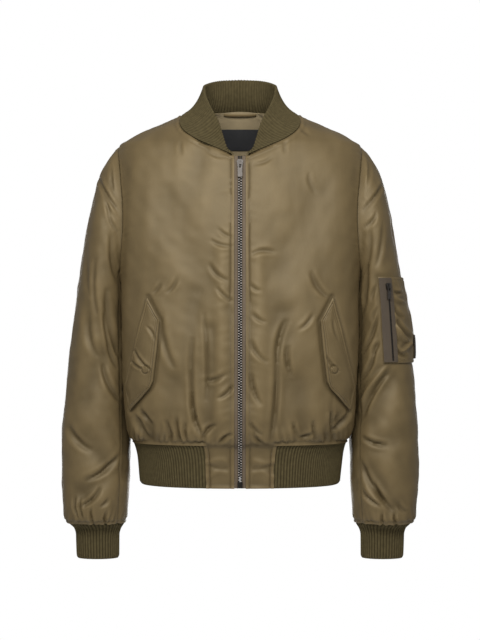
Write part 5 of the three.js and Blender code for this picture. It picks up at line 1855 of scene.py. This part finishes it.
class JacketStage(bpy.types.Operator):
    """Pale floor and backdrop, soft light and the camera"""

    bl_idname = "jacket.stage"
    bl_label = "Stage"

    def execute(self, context):
        self.floor(context)
        for row in LIGHTS:
            self.light(*row)
        self.surroundings(context)
        distance = context.scene.jacket_sizes.distance
        bpy.ops.object.camera_add(location=(0, -distance, CAMERA_Z), rotation=(np.pi / 2, 0, 0))
        camera = bpy.context.active_object
        camera.name = "Camera"
        camera.data.sensor_fit = "VERTICAL"
        camera.data.sensor_height = SENSOR_HEIGHT
        camera.data.lens = LENS_PER_METRE * distance
        context.scene.camera = camera
        return {"FINISHED"}

    def light(self, name, place, turn, size, power):
        bpy.ops.object.light_add(type="AREA", location=place, rotation=np.radians(turn))
        lamp = bpy.context.active_object
        lamp.name = name
        lamp.data.shape = "RECTANGLE"
        lamp.data.size, lamp.data.size_y = size
        lamp.data.energy = power

    def surroundings(self, context):
        """A dim room that lights the jacket evenly, with plain white behind it."""
        world = bpy.data.worlds.new("Studio")
        world.use_nodes = True
        tree = world.node_tree
        room = tree.nodes["Background"]
        room.inputs["Color"].default_value = (1, 1, 1, 1)
        room.inputs["Strength"].default_value = ROOM_LIGHT
        white = tree.nodes.new("ShaderNodeBackground")
        white.inputs["Color"].default_value = (1, 1, 1, 1)
        path = tree.nodes.new("ShaderNodeLightPath")
        either = tree.nodes.new("ShaderNodeMixShader")
        tree.links.new(path.outputs["Is Camera Ray"], either.inputs[0])
        tree.links.new(room.outputs[0], either.inputs[1])
        tree.links.new(white.outputs[0], either.inputs[2])
        tree.links.new(either.outputs[0], tree.nodes["World Output"].inputs["Surface"])
        context.scene.world = world
        context.scene.view_settings.view_transform = "Standard"

    def floor(self, context):
        """A round floor at the height that the wearer would stand on."""
        bpy.ops.object.select_all(action="DESELECT")
        place = (0, 0, FLOOR_Z * MM)
        bpy.ops.mesh.primitive_circle_add(vertices=96, radius=FLOOR_RADIUS, fill_type="NGON", location=place)
        floor = bpy.context.active_object
        floor.name = "Floor"
        material, shader = new_finish("Pale floor", Roughness=0.9)
        varied_colour(material, shader, context.scene.jacket_colours.stage, 3.0, 0.02)
        floor.data.materials.append(material)


OPERATORS = (
    JacketFronts,
    JacketBack,
    JacketSleeves,
    JacketKnit,
    JacketNeck,
    JacketFlaps,
    JacketSleevePocket,
    JacketZip,
    JacketMetal,
    JacketStitching,
    JacketStage,
)


class JacketPanel(bpy.types.Panel):
    """Sizes, colours and pieces of the jacket"""

    bl_idname = "VIEW3D_PT_jacket"
    bl_label = "Bomber jacket"
    bl_space_type = "VIEW_3D"
    bl_region_type = "UI"
    bl_category = "Jacket"

    def draw(self, context):
        for group in (context.scene.jacket_sizes, context.scene.jacket_colours):
            for name in group.__annotations__:
                self.layout.prop(group, name)
        for operator in OPERATORS:
            self.layout.operator(operator.bl_idname)


CLASSES = (JacketColours, JacketSizes, *OPERATORS, JacketPanel)


def register():
    for cls in CLASSES:
        bpy.utils.register_class(cls)
    bpy.types.Scene.jacket_colours = PointerProperty(type=JacketColours)
    bpy.types.Scene.jacket_sizes = PointerProperty(type=JacketSizes)


def unregister():
    del bpy.types.Scene.jacket_sizes
    del bpy.types.Scene.jacket_colours
    for cls in reversed(CLASSES):
        bpy.utils.unregister_class(cls)


def main():
    register()
    for operator in OPERATORS:
        group, name = operator.bl_idname.split(".")
        getattr(getattr(bpy.ops, group), name)()


if __name__ == "__main__":
    main()
